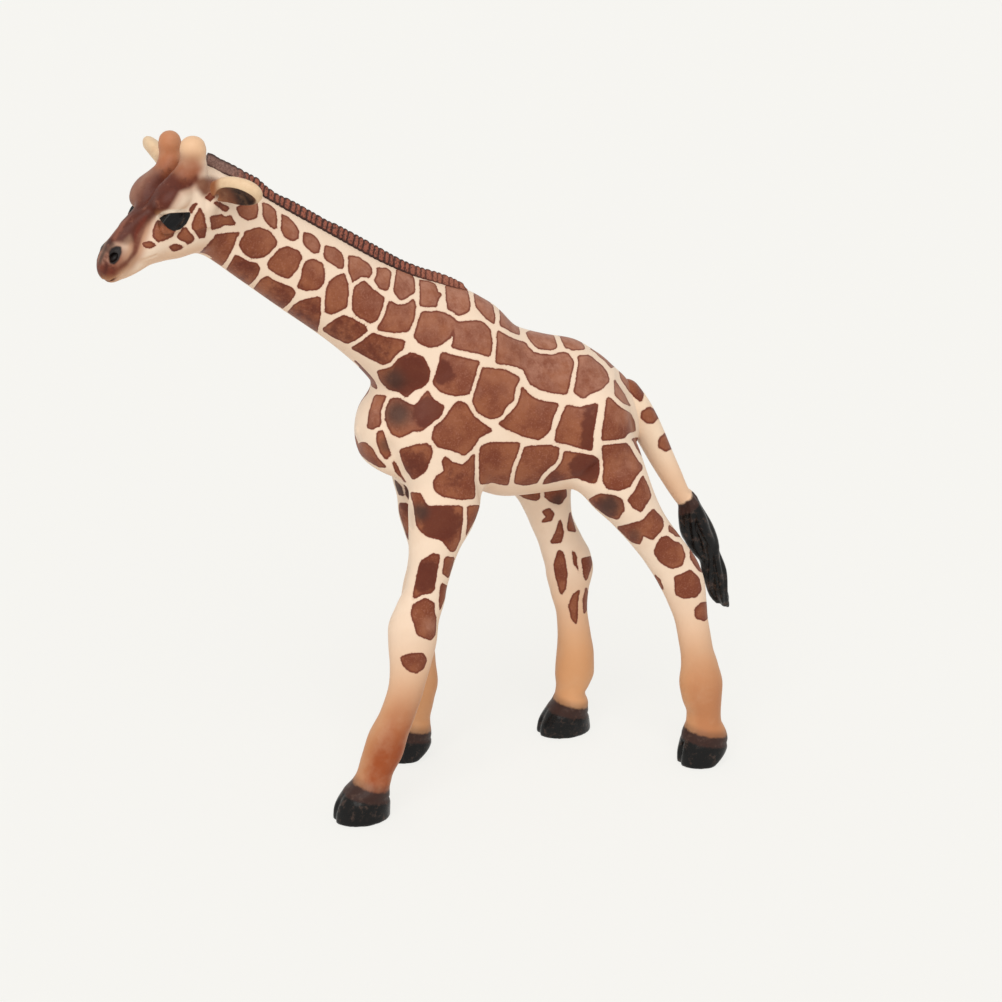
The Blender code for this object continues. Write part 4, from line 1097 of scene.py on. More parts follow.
def brushed(place, spots):
    """How strong the listed places of paint, painted shade and painted highlight are at each place on the
    photograph.
    """
    made = [power * fade(np.hypot(*(place - (x, y)).T) / size, 0.3, 1.6) for x, y, size, power in spots]
    return np.max(made, axis=0)


def paint_coat(points, normals):
    """The paint's attributes on the neck, torso and legs."""
    torso = points.copy()
    torso[:, 1] = -np.abs(torso[:, 1])
    seen = photo_place(torso)
    patch = pattern(seen, COAT)
    ahead, across, height = points.T
    hoof = np.full(len(points), 10.0)
    for name in LEGS:
        near = across < 0 if "left" in name else across > 0
        near &= ahead < BETWEEN_LEGS if "front" in name else ahead > BETWEEN_LEGS
        near &= height < LEG_TOP
        spots = points[near]
        patch[near] = leg_pattern(name, spots, patch[near])
        middle = curve_at(leg(LEGS[name]), spots[:, 2])[:, 0]
        hoof[near] = spots[:, 2] + 0.25 * (spots[:, 0] - middle) - 7.5
    belly = ramp(-normals[:, 2], 0.62, 0.86) * ramp(height, 62, 70)
    belly *= 1 - ramp(height, 84, 92) * ramp(np.abs(normals[:, 1]), 0.1, 0.26)
    outward = np.stack((normals[:, 0], -np.abs(normals[:, 1]), normals[:, 2]), -1)
    patch = (patch + belly * 6) / np.clip(np.abs(outward @ BACK), 0.25, 1.0)
    legs = height < LEG_PAINT_TOP
    outwards = normals[:, 1] * np.sign(across)
    facing = 0.4 + 0.6 * np.clip(outwards * 1.15, 0, 1) ** 1.5 - 0.22 * np.clip(-outwards, 0, 1)
    facing *= np.where(ahead < BETWEEN_LEGS, 1.0, 0.55)
    layers = (
        (PEACH, legs * fade(height, 17, 52) * 0.95),
        (RUST, legs * fade(height, 15, 37) * facing),
        (SOOT, legs * fade(hoof, 0.2, 2.2) * (hoof > -1) * 0.5),
        # painted shade: peach on the downward-facing underside of the body
        (PEACH, ramp(-normals[:, 2], 0.3, 1) * ramp(height, 60, 70) * 0.35),
    )
    # Painted shade in creases and low places over darker paint, and painted highlight on the upper body
    # with lighter rubbed paint
    dark, deep, rubbed = (brushed(seen, spots) for spots in (SHADE_AND_SMUDGES, DEEP_PAINT_AND_SHADE, LIT_AND_RUBBED))
    # Painted highlight: surfaces of the upper body that face up are lighter, and so are the listed places
    worn = np.maximum(ramp(normals[:, 2], 0.0, 0.8) * ramp(height, 70, 90), rubbed)
    return {
        "patch": patch, "hoof": hoof, "dark": dark, "deep": deep, "worn": worn,
        "ground": layered(points, CREAM, layers),
    }


def paint_head(points, normals):
    """The paint's attributes on the head."""
    away = points - HEAD_BASE
    forward, rise, left = away @ HEAD_ALONG, away @ HEAD_UP, away @ HEAD_LEFT
    place = photo_place(points - HEAD_LEFT * (left - np.abs(left))[:, None])

    def outside_of(outlines, reach=30.0):
        """How far each point is outside the face's outlines, in millimetres."""
        made = [pattern(place, to_photo(HEAD_CROP, (outline,)), reach) for outline in outlines]
        return np.min(made, axis=0)

    washed, bridge, muzzle, lip, smile = (
        outside_of(outlines) for outlines in (NOSE_WASH, BRIDGE, MUZZLE_WASH, LIP_WASH, SMILE)
    )
    horn = ramp(rise, 5.6, 9.4) * fade(forward, 1.5, 6.5)
    skull = 1 - horn
    # Painted highlight on the far side of the brow
    far_brow_highlight = ramp(-left, 0.4, 3.6) * ramp(rise, 1.0, 3.0) * skull
    nose_tip = fade(np.abs(left), 1.2, 2.2) * fade(np.abs(forward - 24.1), 0.7, 1.5)
    under = ramp(-normals[:, 2], 0.1, 0.8) * ramp(forward, 2.0, 9.0)
    band = ramp(rise, 5.0, 7.0) * fade(rise, 8.0, 12.0) * fade(forward, 4.0, 7.0) * ramp(forward, -1.0, 2.2)
    eye = outside_of(EYE, 20.0)
    # Painted highlight: a pale line along the upper lid
    lid = ramp(eye, 0.05, 0.2) * fade(eye, 0.5, 1.0) * ramp(rise, 0.8, 2.0)
    layers = (
        ((170, 112, 78), fade(smile, 0.3, 2.6) * 0.8),
        ((150, 88, 60), fade(washed, -0.2, 2.0) * 0.6 * skull),
        ((90, 38, 23), fade(washed, -0.6, 0.6) * skull),
        ((84, 36, 22), fade(bridge, -0.6, 0.9) * 0.85 * skull),
        # painted highlight along the crest of the nose's bridge
        ((168, 110, 90), fade(outside_of(PALE_STREAK), -0.4, 0.5) * 0.4 * skull),
        ((116, 64, 42), fade(outside_of(EAR_WASH), -0.9, 0.8) * 0.95),
        ((134, 72, 50), fade(muzzle, -0.8, 1.6) * 0.85),
        ((104, 46, 28), fade(lip, -0.5, 0.8) * 0.95),
        ((104, 42, 26), fade(smile, -0.35, 0.5) * 0.95),
        ((56, 34, 28), fade(outside_of(NOSE_DARK), -0.4, 0.6) * 0.9),
        ((84, 34, 24), fade(outside_of(LIP), -0.4, 0.6) * 0.9),
        # painted highlight: the far brow lighter and pinker
        ((170, 122, 104), far_brow_highlight * 0.5),
        ((66, 38, 32), nose_tip * ramp(normals @ HEAD_UP, 0.2, 0.6) * 0.85),
        # painted shade: peach on the downward-facing underside of the head
        ((214, 156, 108), under * 0.5),
        ((232, 190, 152), horn),
        ((150, 82, 50), band * 0.85),
        ((216, 148, 108), ramp(rise, 13.0, 16.0) * horn * 0.5),
        # painted shade: the far ossicone darker below its tip
        ((180, 104, 62), horn * (left < 0) * fade(rise, 15.5, 18.5) * 0.8),
        # painted highlight on the upper lid
        ((240, 222, 200), lid * 0.85),
    )
    patch = np.where((horn > 0.2) | (np.abs(left) < 2.0), 3.0, pattern(place, COAT))
    wash = fade(np.min([washed, muzzle + 0.4, lip + 0.4], axis=0), -0.5, 0.7)
    wash = np.where(patch < 0.3, 0.0, wash) * skull * (1 - 0.8 * far_brow_highlight)
    shade = fade(np.hypot(*(place - EYE_CORNER).T), 2.0, 8.0)
    none = np.zeros(len(points))
    return {
        "patch": patch, "eye": np.where(np.abs(left) > 2.5, eye, 4.0), "nostril": outside_of(NOSTRIL, 20.0),
        "ground": layered(points, CREAM, layers), "hoof": none + 9.0, "dark": shade * 0.8,
        "deep": none, "worn": none, "wash": wash,
    }


class Nodes:
    """Short names for building a node tree."""

    def __init__(self, tree):
        self.nodes = tree.nodes
        self.links = tree.links

    def link(self, value, socket):
        """Join an output, or set a number, or a colour of 0 to 255 values."""
        if isinstance(value, bpy.types.NodeSocket):
            self.links.new(value, socket)
        elif isinstance(value, tuple):
            socket.default_value = (*linear(value), 1.0)
        else:
            socket.default_value = value

    def math(self, kind, *values):
        """One sum."""
        node = self.nodes.new("ShaderNodeMath")
        node.operation = kind
        for value, socket in zip(values, node.inputs):
            self.link(value, socket)
        return node.outputs[0]

    def white_rays(self):
        """1 for the rays that have to find a white background."""
        path = self.nodes.new("ShaderNodeLightPath")
        seen = path.outputs["Is Camera Ray"]
        for ray in ("Is Glossy Ray", "Is Transmission Ray"):
            seen = self.math("MAXIMUM", seen, path.outputs[ray])
        return seen

    def show(self, share, first, second, output):
        """Send a mix of two shaders to the tree's output."""
        mix = self.nodes.new("ShaderNodeMixShader")
        for value, socket in zip((share, first.outputs[0], second.outputs[0]), mix.inputs):
            self.link(value, socket)
        self.link(mix.outputs[0], self.nodes[output].inputs["Surface"])


class Shader(Nodes):
    """Short names for building one material's nodes."""

    def __init__(self, name):
        self.material = bpy.data.materials.new(name)
        self.material.use_nodes = True
        super().__init__(self.material.node_tree)
        self.shader = self.nodes["Principled BSDF"]
        self.place = self.nodes.new("ShaderNodeTexCoord").outputs["Object"]

    def attribute(self, name, colour=False):
        """A value painted on the mesh."""
        node = self.nodes.new("ShaderNodeAttribute")
        node.attribute_name = name
        return node.outputs["Color" if colour else "Fac"]

    def noise(self, scale, detail=3.0, roughness=0.55):
        """Noise from 0 to 1, its scale in lumps a millimetre."""
        mapping = self.nodes.new("ShaderNodeMapping")
        self.link(self.place, mapping.inputs["Vector"])
        mapping.inputs["Scale"].default_value = (1 / MM, 1 / MM, 1 / MM)
        node = self.nodes.new("ShaderNodeTexNoise")
        self.link(mapping.outputs["Vector"], node.inputs["Vector"])
        for name, number in (("Scale", scale), ("Detail", detail), ("Roughness", roughness)):
            node.inputs[name].default_value = number
        return node.outputs["Fac"]

    def times(self, first, second):
        """A product."""
        return self.math("MULTIPLY", first, second)

    def less(self, value):
        """What a share leaves of 1."""
        return self.math("SUBTRACT", 1.0, value)

    def plus(self, base, value, amount):
        """A base and an amount of a value."""
        return self.math("MULTIPLY_ADD", value, amount, base)

    def swayed(self, base, noise, amount):
        """A base moved up and down by a noise."""
        return self.plus(base, self.math("SUBTRACT", noise, 0.5), amount)

    def between(self, value, low, high, bottom=0.0, top=1.0):
        """A value's smooth step from low to high."""
        node = self.nodes.new("ShaderNodeMapRange")
        node.interpolation_type = "SMOOTHSTEP"
        self.link(value, node.inputs["Value"])
        for name, number in zip(("From Min", "From Max", "To Min", "To Max"), (low, high, bottom, top)):
            node.inputs[name].default_value = number
        return node.outputs["Result"]

    def blend(self, share, first, second):
        """A mix of two colours."""
        node = self.nodes.new("ShaderNodeMix")
        node.data_type = "RGBA"
        self.link(share, node.inputs[0])
        for name, value in (("A", first), ("B", second)):
            self.link(value, next(s for s in node.inputs if s.name == name and s.type == "RGBA"))
        return next(s for s in node.outputs if s.type == "RGBA")

    def finish(self, colour, rough, bump, strength, distance, specular):
        """Join the colour, roughness and bump to the shader."""
        self.link(colour, self.shader.inputs["Base Color"])
        self.link(rough, self.shader.inputs["Roughness"])
        node = self.nodes.new("ShaderNodeBump")
        node.inputs["Strength"].default_value = strength
        node.inputs["Distance"].default_value = distance
        self.link(bump, node.inputs["Height"])
        self.link(node.outputs["Normal"], self.shader.inputs["Normal"])
        self.shader.inputs["IOR"].default_value = 1.45
        self.shader.inputs["Specular IOR Level"].default_value = specular
        return self.material


def coat_material(name, face=False):
    """Brown patches brushed on cream, with painted shade and painted highlight, black hooves, or dark eyes
    and nostrils.
    """
    s = Shader(name)
    fine = s.noise(2.6, 4.0)
    coarse = s.noise(0.16, 4.0, 0.6)
    speck = s.noise(5.5, 2.0)
    wobble = s.swayed(s.attribute("patch"), s.noise(0.9, 2.0), 0.46)
    wobble = s.swayed(wobble, fine, 0.36)
    patch = s.between(wobble, 0.22, 0.35, 1.0, 0.0)
    core = s.between(wobble, -0.42, 0.12, 1.0, 0.0)
    brown = s.blend(s.between(coarse, 0.35, 0.68), (118, 57, 34), (148, 87, 57))
    # Painted glints: fine lighter specks on the brown
    brown = s.blend(s.between(fine, 0.50, 0.72, 0.0, 0.35), brown, (176, 118, 98))
    # Painted highlight on the upper body's upward faces, with lighter rubbed paint
    worn = s.times(s.attribute("worn"), s.between(s.noise(0.45, 5.0, 0.7), 0.3, 0.7, 0.15, 0.75))
    brown = s.blend(worn, brown, (184, 132, 110))
    # Darker paint with painted shade in the low places
    deep = s.swayed(s.attribute("deep"), s.noise(0.5, 4.0, 0.65), 0.8)
    brown = s.blend(s.between(deep, 0.3, 0.62, 0.0, 0.8), brown, (88, 33, 19))
    brown = s.blend(s.between(core, 0.0, 1.0, 0.75, 0.0), brown, (104, 42, 26))
    # Painted shade in the creases and in front of the eye, here on the brown
    brown = s.blend(s.times(s.attribute("dark"), 0.80), brown, (62, 45, 38))
    ground = s.attribute("ground", True)
    stain = s.between(coarse, 0.4, 0.75, 0.0, 0.22)
    if face:
        streaks = s.noise(0.55, 4.0, 0.65)
        wash = s.attribute("wash")
        light = s.times(wash, s.between(streaks, 0.54, 0.74, 0.0, 0.34))
        ground = s.blend(light, ground, (168, 108, 84))
        dark = s.times(wash, s.between(streaks, 0.30, 0.48, 0.65, 0.0))
        ground = s.blend(dark, ground, (72, 28, 17))
        stain = s.times(stain, s.less(wash))
    cream = s.blend(stain, ground, (214, 178, 146))
    cream = s.blend(s.between(wobble, 0.36, 0.62, 0.30, 0.0), cream, (206, 158, 130))
    # The same painted shade, weaker on the cream
    cream = s.blend(s.times(s.attribute("dark"), 0.25), cream, (120, 96, 80))
    colour = s.blend(patch, cream, brown)
    hoof = s.swayed(s.attribute("hoof"), s.noise(0.8, 3.0), 0.9)
    black = s.between(hoof, -0.3, 0.4, 1.0, 0.0)
    gloss = s.between(hoof, -2.8, -2.1, 1.0, 0.0)
    horn = s.blend(gloss, (54, 32, 26), (8, 7, 7))
    rubbed = s.times(s.between(s.noise(0.6, 5.0, 0.7), 0.5, 0.7, 0.0, 0.45), s.between(hoof, 0.2, -0.6))
    horn = s.blend(rubbed, horn, (98, 76, 66))
    colour = s.blend(black, colour, horn)
    rough = s.plus(s.between(speck, 0.3, 0.7, 0.40, 0.52), gloss, -0.2)
    bump = s.plus(s.plus(s.noise(0.7, 5.0, 0.6), speck, 0.35), patch, 0.25)
    if face:
        nostril = s.between(s.attribute("nostril"), -0.1, 0.45, 1.0, 0.0)
        colour = s.blend(nostril, colour, (22, 13, 12))
        eye = s.between(s.attribute("eye"), -0.06, 0.1, 1.0, 0.0)
        colour = s.blend(eye, colour, (3, 3, 5))
        rough = s.plus(rough, eye, -0.08)
        bump = s.times(bump, s.less(eye))
    return s.finish(colour, rough, bump, 0.5, 0.00012, 0.28)


def solid(vertices, quads):
    """A bmesh from numpy arrays."""
    mesh = bpy.data.meshes.new("clay")
    mesh.vertices.add(len(vertices))
    mesh.vertices.foreach_set("co", vertices.astype(np.float32).ravel())
    mesh.loops.add(quads.size)
    mesh.loops.foreach_set("vertex_index", quads.astype(np.int32).ravel())
    mesh.polygons.add(len(quads))
    mesh.polygons.foreach_set("loop_start", np.arange(0, quads.size, 4, dtype=np.int32))
    mesh.update(calc_edges=True)
    made = bmesh.new()
    made.from_mesh(mesh)
    bpy.data.meshes.remove(mesh)
    return made


def cap(part, edges, normal):
    """Close the loops that a cut has left."""
    links = {}
    for edge in edges:
        if edge.is_valid and edge.is_boundary:
            one, two = edge.verts
            links.setdefault(one, []).append(two)
            links.setdefault(two, []).append(one)
    while links:
        start = next(iter(links))
        loop, before, here = [start], None, start
        while True:
            ways = [v for v in links.pop(here, []) if v is not before and v in links]
            if not ways:
                break
            before, here = here, ways[0]
            loop.append(here)
        if len(loop) > 2:
            face = part.faces.new(loop)
            face.normal_update()
            if face.normal.dot(normal) < 0:
                face.normal_flip()


def halves(made, point, normal):
    """Two closed bodies from one: behind a plane, and beyond it."""
    pieces = []
    for sign in (1, -1):
        part = made.copy()
        turned = Vector(normal) * sign
        parts = part.verts[:] + part.edges[:] + part.faces[:]
        cut = bmesh.ops.bisect_plane(part, geom=parts, plane_co=point, plane_no=turned, clear_outer=True)
        cap(part, [e for e in cut["geom_cut"] if isinstance(e, bmesh.types.BMEdge)], turned)
        pieces.append(part)
    return pieces


def new_object(name, data):
    """An object in the scene."""
    made = bpy.data.objects.new(name, data)
    bpy.context.scene.collection.objects.link(made)
    return made


def dress(name, mesh, points, normals, painted, material, node):
    """An object from a mesh in millimetres: painted, and in the CAD's place."""
    for label, values in painted.items():
        if values.ndim == 2:
            layer = mesh.attributes.new(label, "FLOAT_COLOR", "POINT")
            colours = np.concatenate((values, np.ones((len(values), 1))), 1)
            layer.data.foreach_set("color", colours.astype(np.float32).ravel())
        else:
            layer = mesh.attributes.new(label, "FLOAT", "POINT")
            layer.data.foreach_set("value", values.astype(np.float32))
    mesh.vertices.foreach_set("co", ((points + STAND) * MM).astype(np.float32).ravel())
    mesh.update()
    mesh.polygons.foreach_set("use_smooth", np.ones(len(mesh.polygons), bool))
    if normals is not None:
        mesh.normals_split_custom_set_from_vertices([tuple(n) for n in normals])
    mesh.materials.append(material)
    made = new_object(name, mesh)
    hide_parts(node)
    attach(made, "root")


def piece(name, part, field, paint, material, node):
    """A dressed object from a body of clay."""
    mesh = bpy.data.meshes.new(name)
    part.to_mesh(mesh)
    part.free()
    points = np.empty(len(mesh.vertices) * 3, np.float32)
    mesh.vertices.foreach_get("co", points)
    points = points.reshape(-1, 3).astype(float)
    slope = field.slope(points)
    normals = slope / np.maximum(np.linalg.norm(slope, axis=1), 1e-6)[:, None]
    dress(name, mesh, points, normals, paint(points, normals), material, node)


coat = coat_material("painted_coat_skin")
leg_coat = coat_material("leg_paint_skin")
face = coat_material("cream_pvc_head", True)

clay = solid(*skin(body))
rest, beyond = halves(clay, SEAM_POINT, SEAM_NORMAL)
clay.free()
beyond.free()
rest, neck_part = halves(rest, NECK_ROOT + NECK_ALONG * NECK_SEAM, NECK_ALONG)
piece("neck_skin", neck_part, body, paint_coat, coat, "neck")
legs_part, torso_part = halves(rest, (0, 0, LEG_SEAM), (0, 0, 1))
left_part, right_part = halves(torso_part, (0, 0, 0), (0, 1, 0))
piece("torso_left_skin", left_part, body, paint_coat, coat, "torso_left_shell")
piece("torso_right_skin", right_part, body, paint_coat, coat, "torso_right_shell")
for name in LEGS:
    part = legs_part.copy()
    left, front = "left" in name, "front" in name
    gone = [v for v in part.verts if (v.co.y < 0) != left or (v.co.x < BETWEEN_LEGS) != front]
    bmesh.ops.delete(part, geom=gone, context="VERTS")
    piece(name + "_skin", part, body, paint_coat, leg_coat, name)

clay = solid(*skin(head))
behind, head_part = halves(clay, SEAM_POINT, SEAM_NORMAL)
behind.free()
clay.free()
piece("head_skin", head_part, head, paint_head, face, "head")


ROOM = 5.0  # clear space around a small piece's form
# Each ear's root and tip
EAR_REACH = {
    1: (head_point(0.8, 0.7, 5.0), head_point(-2.2, 0.6, 16.9)),
    -1: (head_point(0.8, 0.7, -5.0), head_point(-2.8, 5.5, -17.4)),
}


def ear_axes(side):
    """An ear's root, its length's and width's directions, and the way its cup opens."""
    root, tip = EAR_REACH[side]
    along = unit(tip - root)
    opening = HEAD_ALONG * 0.85 - HEAD_UP * 0.22
    opening = unit(opening - along * (opening @ along))
    return root, np.linalg.norm(tip - root), along, np.cross(along, opening), opening


def sculpt_ear(side):
    """A leaf-shaped ear, hollowed on its front."""
    root, length, along, across, opening = ear_axes(side)
    tip = EAR_REACH[side][1]
    made = Field(np.minimum(root, tip) - ROOM, np.maximum(root, tip) + ROOM, EAR_STEP)
    axes = (along, across, opening)
    wide, broad = (3.9, 2.2) if side > 0 else (5.0, 3.0)
    made.ball(root + along * (0.57 * length), (0.47 * length, wide, 2.0), 0.0, axes)
    made.ball(root + along * (0.80 * length), (0.22 * length, broad, 1.2), 1.2, axes)
    made.tube((root - along * 1.6, root + along * 2.4, root + along * 4.6), (1.9, 1.7, 1.3), 1.8)
    cup = root + along * (0.58 * length) + opening * 1.5 + across * side * 0.5
    made.ball(cup, (0.38 * length, 3.2, 2.0), 0.4, axes, True)
    mouth = (root + along * 2.6 + opening * 1.6, root + along * 5.0 + opening * 1.2)
    made.tube(mouth, (0.5, 0.9), 0.6, True)
    return made


def paint_ear(side):
    """The paint's attributes on one ear."""

    def paint(points, normals):
        root, length, along, across, opening = ear_axes(side)
        place, low = (points - root) @ along / length, (points - root) @ across * side
        inside = ramp(normals @ opening, 0.05, 0.6)
        inside *= fade(np.sqrt(((place - 0.57) / 0.40) ** 2 + ((low - 0.75) / 3.3) ** 2), 0.78, 1.06)
        layers = (
            ((156, 94, 58), fade(place - 0.06 * np.clip(low, -1, 2), 0.30, 0.52) * 0.95),
            ((118, 70, 48), inside * 0.95),
            # painted shade, darkest deep in the cup over its brown paint
            ((40, 26, 24), inside * ramp(place, 0.32, 0.52) * fade(place, 0.76, 0.95)),
        )
        return {"ground": layered(points, (230, 200, 164), layers)}

    return paint


TAIL_CROP = (590, 360, 6.03)
# Tail's middle line on its crop: across, down, half width, the animal's right
TAIL_LINE = (
    (216, 202, 3.3, 0.0),
    (267, 274, 3.4, 0.0),
    (322, 369, 3.35, -0.1),
    (374, 470, 3.15, -0.2),
    (428, 580, 2.85, -0.4),
    (487, 692, 2.5, -0.7),
    (542, 795, 2.1, -0.9),
    (570, 835, 2.0, -1.0),
)
TUFT_LINE = (
    (572, 815, 1.7, -1.0),
    (596, 863, 2.5, -1.0),
    (620, 938, 3.1, -1.1),
    (653, 1030, 3.45, -1.2),
    (696, 1112, 3.15, -1.3),
    (729, 1194, 2.45, -1.4),
    (750, 1292, 2.8, -1.5),
    (776, 1384, 2.7, -1.6),
    (806, 1450, 2.0, -1.7),
    (828, 1482, 0.6, -1.7),
)
STRANDS = 9
TUFT_TURN = 1.7
TAIL_PITCH = 1.2


def line_points(rows):
    """The sketch points and half widths of a line read off the tail's crop."""
    points = [seen_at(TAIL_CROP, x, y, across) for x, y, _, across in rows]
    return np.array(points), np.array([row[2] for row in rows])


def smooth_line(points, radii, pitch):
    """The line through points at an even pitch, with its radii."""
    lengths = np.concatenate(([0], np.cumsum(np.linalg.norm(np.diff(points, axis=0), axis=1))))
    places = np.linspace(0, lengths[-1], max(2, int(round(lengths[-1] / pitch)) + 1))
    rows = np.column_stack((lengths, points, radii))
    made = curve_at(rows, places).astype(float)
    return made[:, :3], made[:, 3], places


def sculpt_tail():
    """A round tail with a tuft of twisted strands."""
    points, radii = line_points(TAIL_LINE)
    tuft, tuft_radii = line_points(TUFT_LINE)
    both = np.concatenate((points, tuft))
    made = Field(both.min(0) - ROOM, both.max(0) + ROOM, TAIL_STEP)
    line, sizes, _ = smooth_line(points, radii, TAIL_PITCH)
    made.tube(line, sizes, 0.0)
    line, sizes, places = smooth_line(tuft, tuft_radii, TAIL_PITCH)
    made.tube(line, sizes * 0.62, 0.5)
    forward = np.gradient(line, axis=0)
    forward /= np.linalg.norm(forward, axis=1)[:, None]
    back = np.cross(forward, WORLD_Y)
    share = places / places[-1]
    for i in range(STRANDS):
        turn = 2 * np.pi * i / STRANDS + TUFT_TURN * share + 0.5 * np.sin(6 * share + 2.3 * i)
        out = sizes * (0.62 + 0.1 * np.sin(9 * share + 1.7 * i))
        strand = line + WORLD_Y * (np.cos(turn) * out)[:, None] + back * (np.sin(turn) * out)[:, None]
        last = len(line) - int(3 * (0.5 + 0.5 * np.sin(5.1 * i)))
        thick = np.maximum(sizes * 0.46 * (1 - 0.75 * share**3), 0.22)
        made.tube(strand[:last], thick[:last], 0.22)
    return made


def paint_tail(points, normals):
    """The paint's attributes on the tail."""
    patch = pattern(photo_place(points), TAIL_SPOTS) + 2 * fade(normals @ BACK, -0.25, 0.15)
    start, _ = line_points(TUFT_LINE)
    along = unit(start[2] - start[0])
    slant = (points - start[0]) @ unit(np.cross(along, BACK))
    black = (points - start[1]) @ along + 1.7 - 0.25 * slant
    far = np.linalg.norm(points - line_points(TAIL_LINE)[0][0], axis=1)
    ground = layered(points, (243, 217, 190), (((226, 176, 136), ramp(far, 12, 26) * 0.6),))
    none = np.zeros(len(points))
    return {"patch": patch, "hoof": -black, "dark": none, "deep": none, "worn": none, "ground": ground}


MANE_CROP = (195, 145, 10.4533)
# Top of the mane, read off two crops
MANE_TOP_FRONT = (
    (150, 95), (240, 130), (330, 185), (420, 232), (520, 290), (650, 358), (740, 440), (850, 520),
    (1000, 588), (1200, 698), (1400, 812),
)
MANE_TOP_BACK = ((950, 428), (1100, 508), (1190, 558), (1270, 592), (1340, 613), (1425, 643), (1456, 660))
MANE_PITCH = 0.16
MANE_RIBS = 1.3
MANE_SIDES = 14
MANE_ENDS = ((1452, 657), (478, 180))  # its back and front end on the neck's crop
CREST_SEARCH = (-6.0, 9.0)
CREST_HALVINGS = 18
CREST_EVENINGS = 40
MANE_HEIGHT = (0.35, 2.6)


def crest_height(points):
    """Points moved along the crest's direction on to the sculpt."""
    low, high = (np.full(len(points), end) for end in CREST_SEARCH)
    for _ in range(CREST_HALVINGS):
        middle = (low + high) / 2
        inside = body.sample(points + NECK_CREST * middle[:, None]) < 0
        low, high = np.where(inside, middle, low), np.where(inside, high, middle)
    return points + NECK_CREST * low[:, None]


def crest_line(places):
    """The crest's points at places along the neck, evened out, and the way up from each."""
    rows = curve_at(whole(NECK), places)
    base = NECK_ROOT + NECK_ALONG * places[:, None] + NECK_CREST * (rows[:, :1] + rows[:, 1:2])
    base = crest_height(base)
    for _ in range(CREST_EVENINGS):
        base[1:-1] = base[1:-1] * 0.5 + (base[:-2] + base[2:]) * 0.25
    forward = np.gradient(base, axis=0)
    forward /= np.linalg.norm(forward, axis=1)[:, None]
    up = np.cross(WORLD_Y, forward)
    up *= np.sign(up @ NECK_CREST)[:, None]
    return base, up


def mane_height(places, share, base):
    """How tall the mane is over the crest, from its top in the photograph."""
    tops = [seen_at(NECK_CROP, x, y, 0.0) for x, y in MANE_TOP_BACK]
    tops += [seen_at(MANE_CROP, x, y, 0.0) for x, y in MANE_TOP_FRONT]
    rows = sorted(((top - NECK_ROOT) @ NECK_ALONG, (top - NECK_ROOT) @ NECK_CREST) for top in tops)
    level = curve_at(rows, places)[:, 0] + 0.35 * ramp(share, 0.0, 0.12)
    tall = np.clip(level - (base - NECK_ROOT) @ NECK_CREST, *MANE_HEIGHT)
    return tall * (0.3 + 0.7 * ramp(share, 0.0, 0.02))


def make_mane(material):
    """A ribbed strip along the neck's crest."""
    first, last = ((seen_at(NECK_CROP, x, y, 0.0) - NECK_ROOT) @ NECK_ALONG for x, y in MANE_ENDS)
    count = int((last - first) / MANE_PITCH)
    places = np.linspace(first, last, count)
    share = (places - first) / (last - first)
    base, up = crest_line(places)
    tall = mane_height(places, share, base)
    wide = 0.7 + 0.55 * ramp(share, 0.0, 0.30)
    ribbed = 1 - ramp(share, 0.86, 0.95) * 0.75
    places, tall, wide, ribbed = (row[:, None] for row in (places, tall, wide, ribbed))
    turns = np.linspace(-0.18 * np.pi, 1.18 * np.pi, MANE_SIDES)
    across, high = np.cos(turns), np.sin(turns)
    phase = (places - 0.45 * high) / MANE_RIBS
    rib = np.abs(np.sin(np.pi * phase + 0.35 * np.sin(2.1 * phase))) ** 0.6
    rib = rib * ribbed + (1 - ribbed) * 0.8
    out = wide * (0.80 + 0.26 * rib) * (1 - 0.25 * np.maximum(high, 0))
    out = out * np.sign(across) * np.abs(across) ** 0.75
    rise = np.where(high > 0, tall * (0.84 + 0.16 * rib) * high, high * 1.6)
    vertices = (base[:, None] + WORLD_Y * out[..., None] + up[:, None] * rise[..., None]).reshape(-1, 3)
    around = range(MANE_SIDES)
    last_ring = (count - 1) * MANE_SIDES
    faces = []
    for ring in range(0, last_ring, MANE_SIDES):
        for j in around:
            a, b = ring + j, ring + (j + 1) % MANE_SIDES
            faces.append((a, b, b + MANE_SIDES, a + MANE_SIDES))
    faces += [tuple(around)[::-1], tuple(last_ring + j for j in around)]
    mesh = bpy.data.meshes.new("mane_ribs")
    mesh.from_pydata([tuple(v) for v in vertices], [], faces)
    made = bmesh.new()
    made.from_mesh(mesh)
    bmesh.ops.recalc_face_normals(made, faces=made.faces[:])
    made.to_mesh(mesh)
    made.free()
    edge = 1 - np.abs(2 * np.clip(high, 0, 1) - 1)
    painted = {"rib": rib.ravel(), "edge": np.tile(edge, count), "along": np.repeat(share, MANE_SIDES)}
    dress("mane_ribs", mesh, vertices, None, painted, material, "mane_strip")


def plain_material(name):
    """Cream with what is painted on it, for the ears."""
    s = Shader(name)
    coarse = s.noise(0.5, 4.0, 0.6)
    speck = s.noise(6.0, 2.0)
    colour = s.blend(s.between(coarse, 0.4, 0.75, 0.0, 0.3), s.attribute("ground", True), (190, 140, 104))
    rough = s.between(speck, 0.3, 0.7, 0.42, 0.54)
    return s.finish(colour, rough, s.plus(s.noise(0.9, 5.0, 0.6), speck, 0.35), 0.45, 0.0001, 0.28)


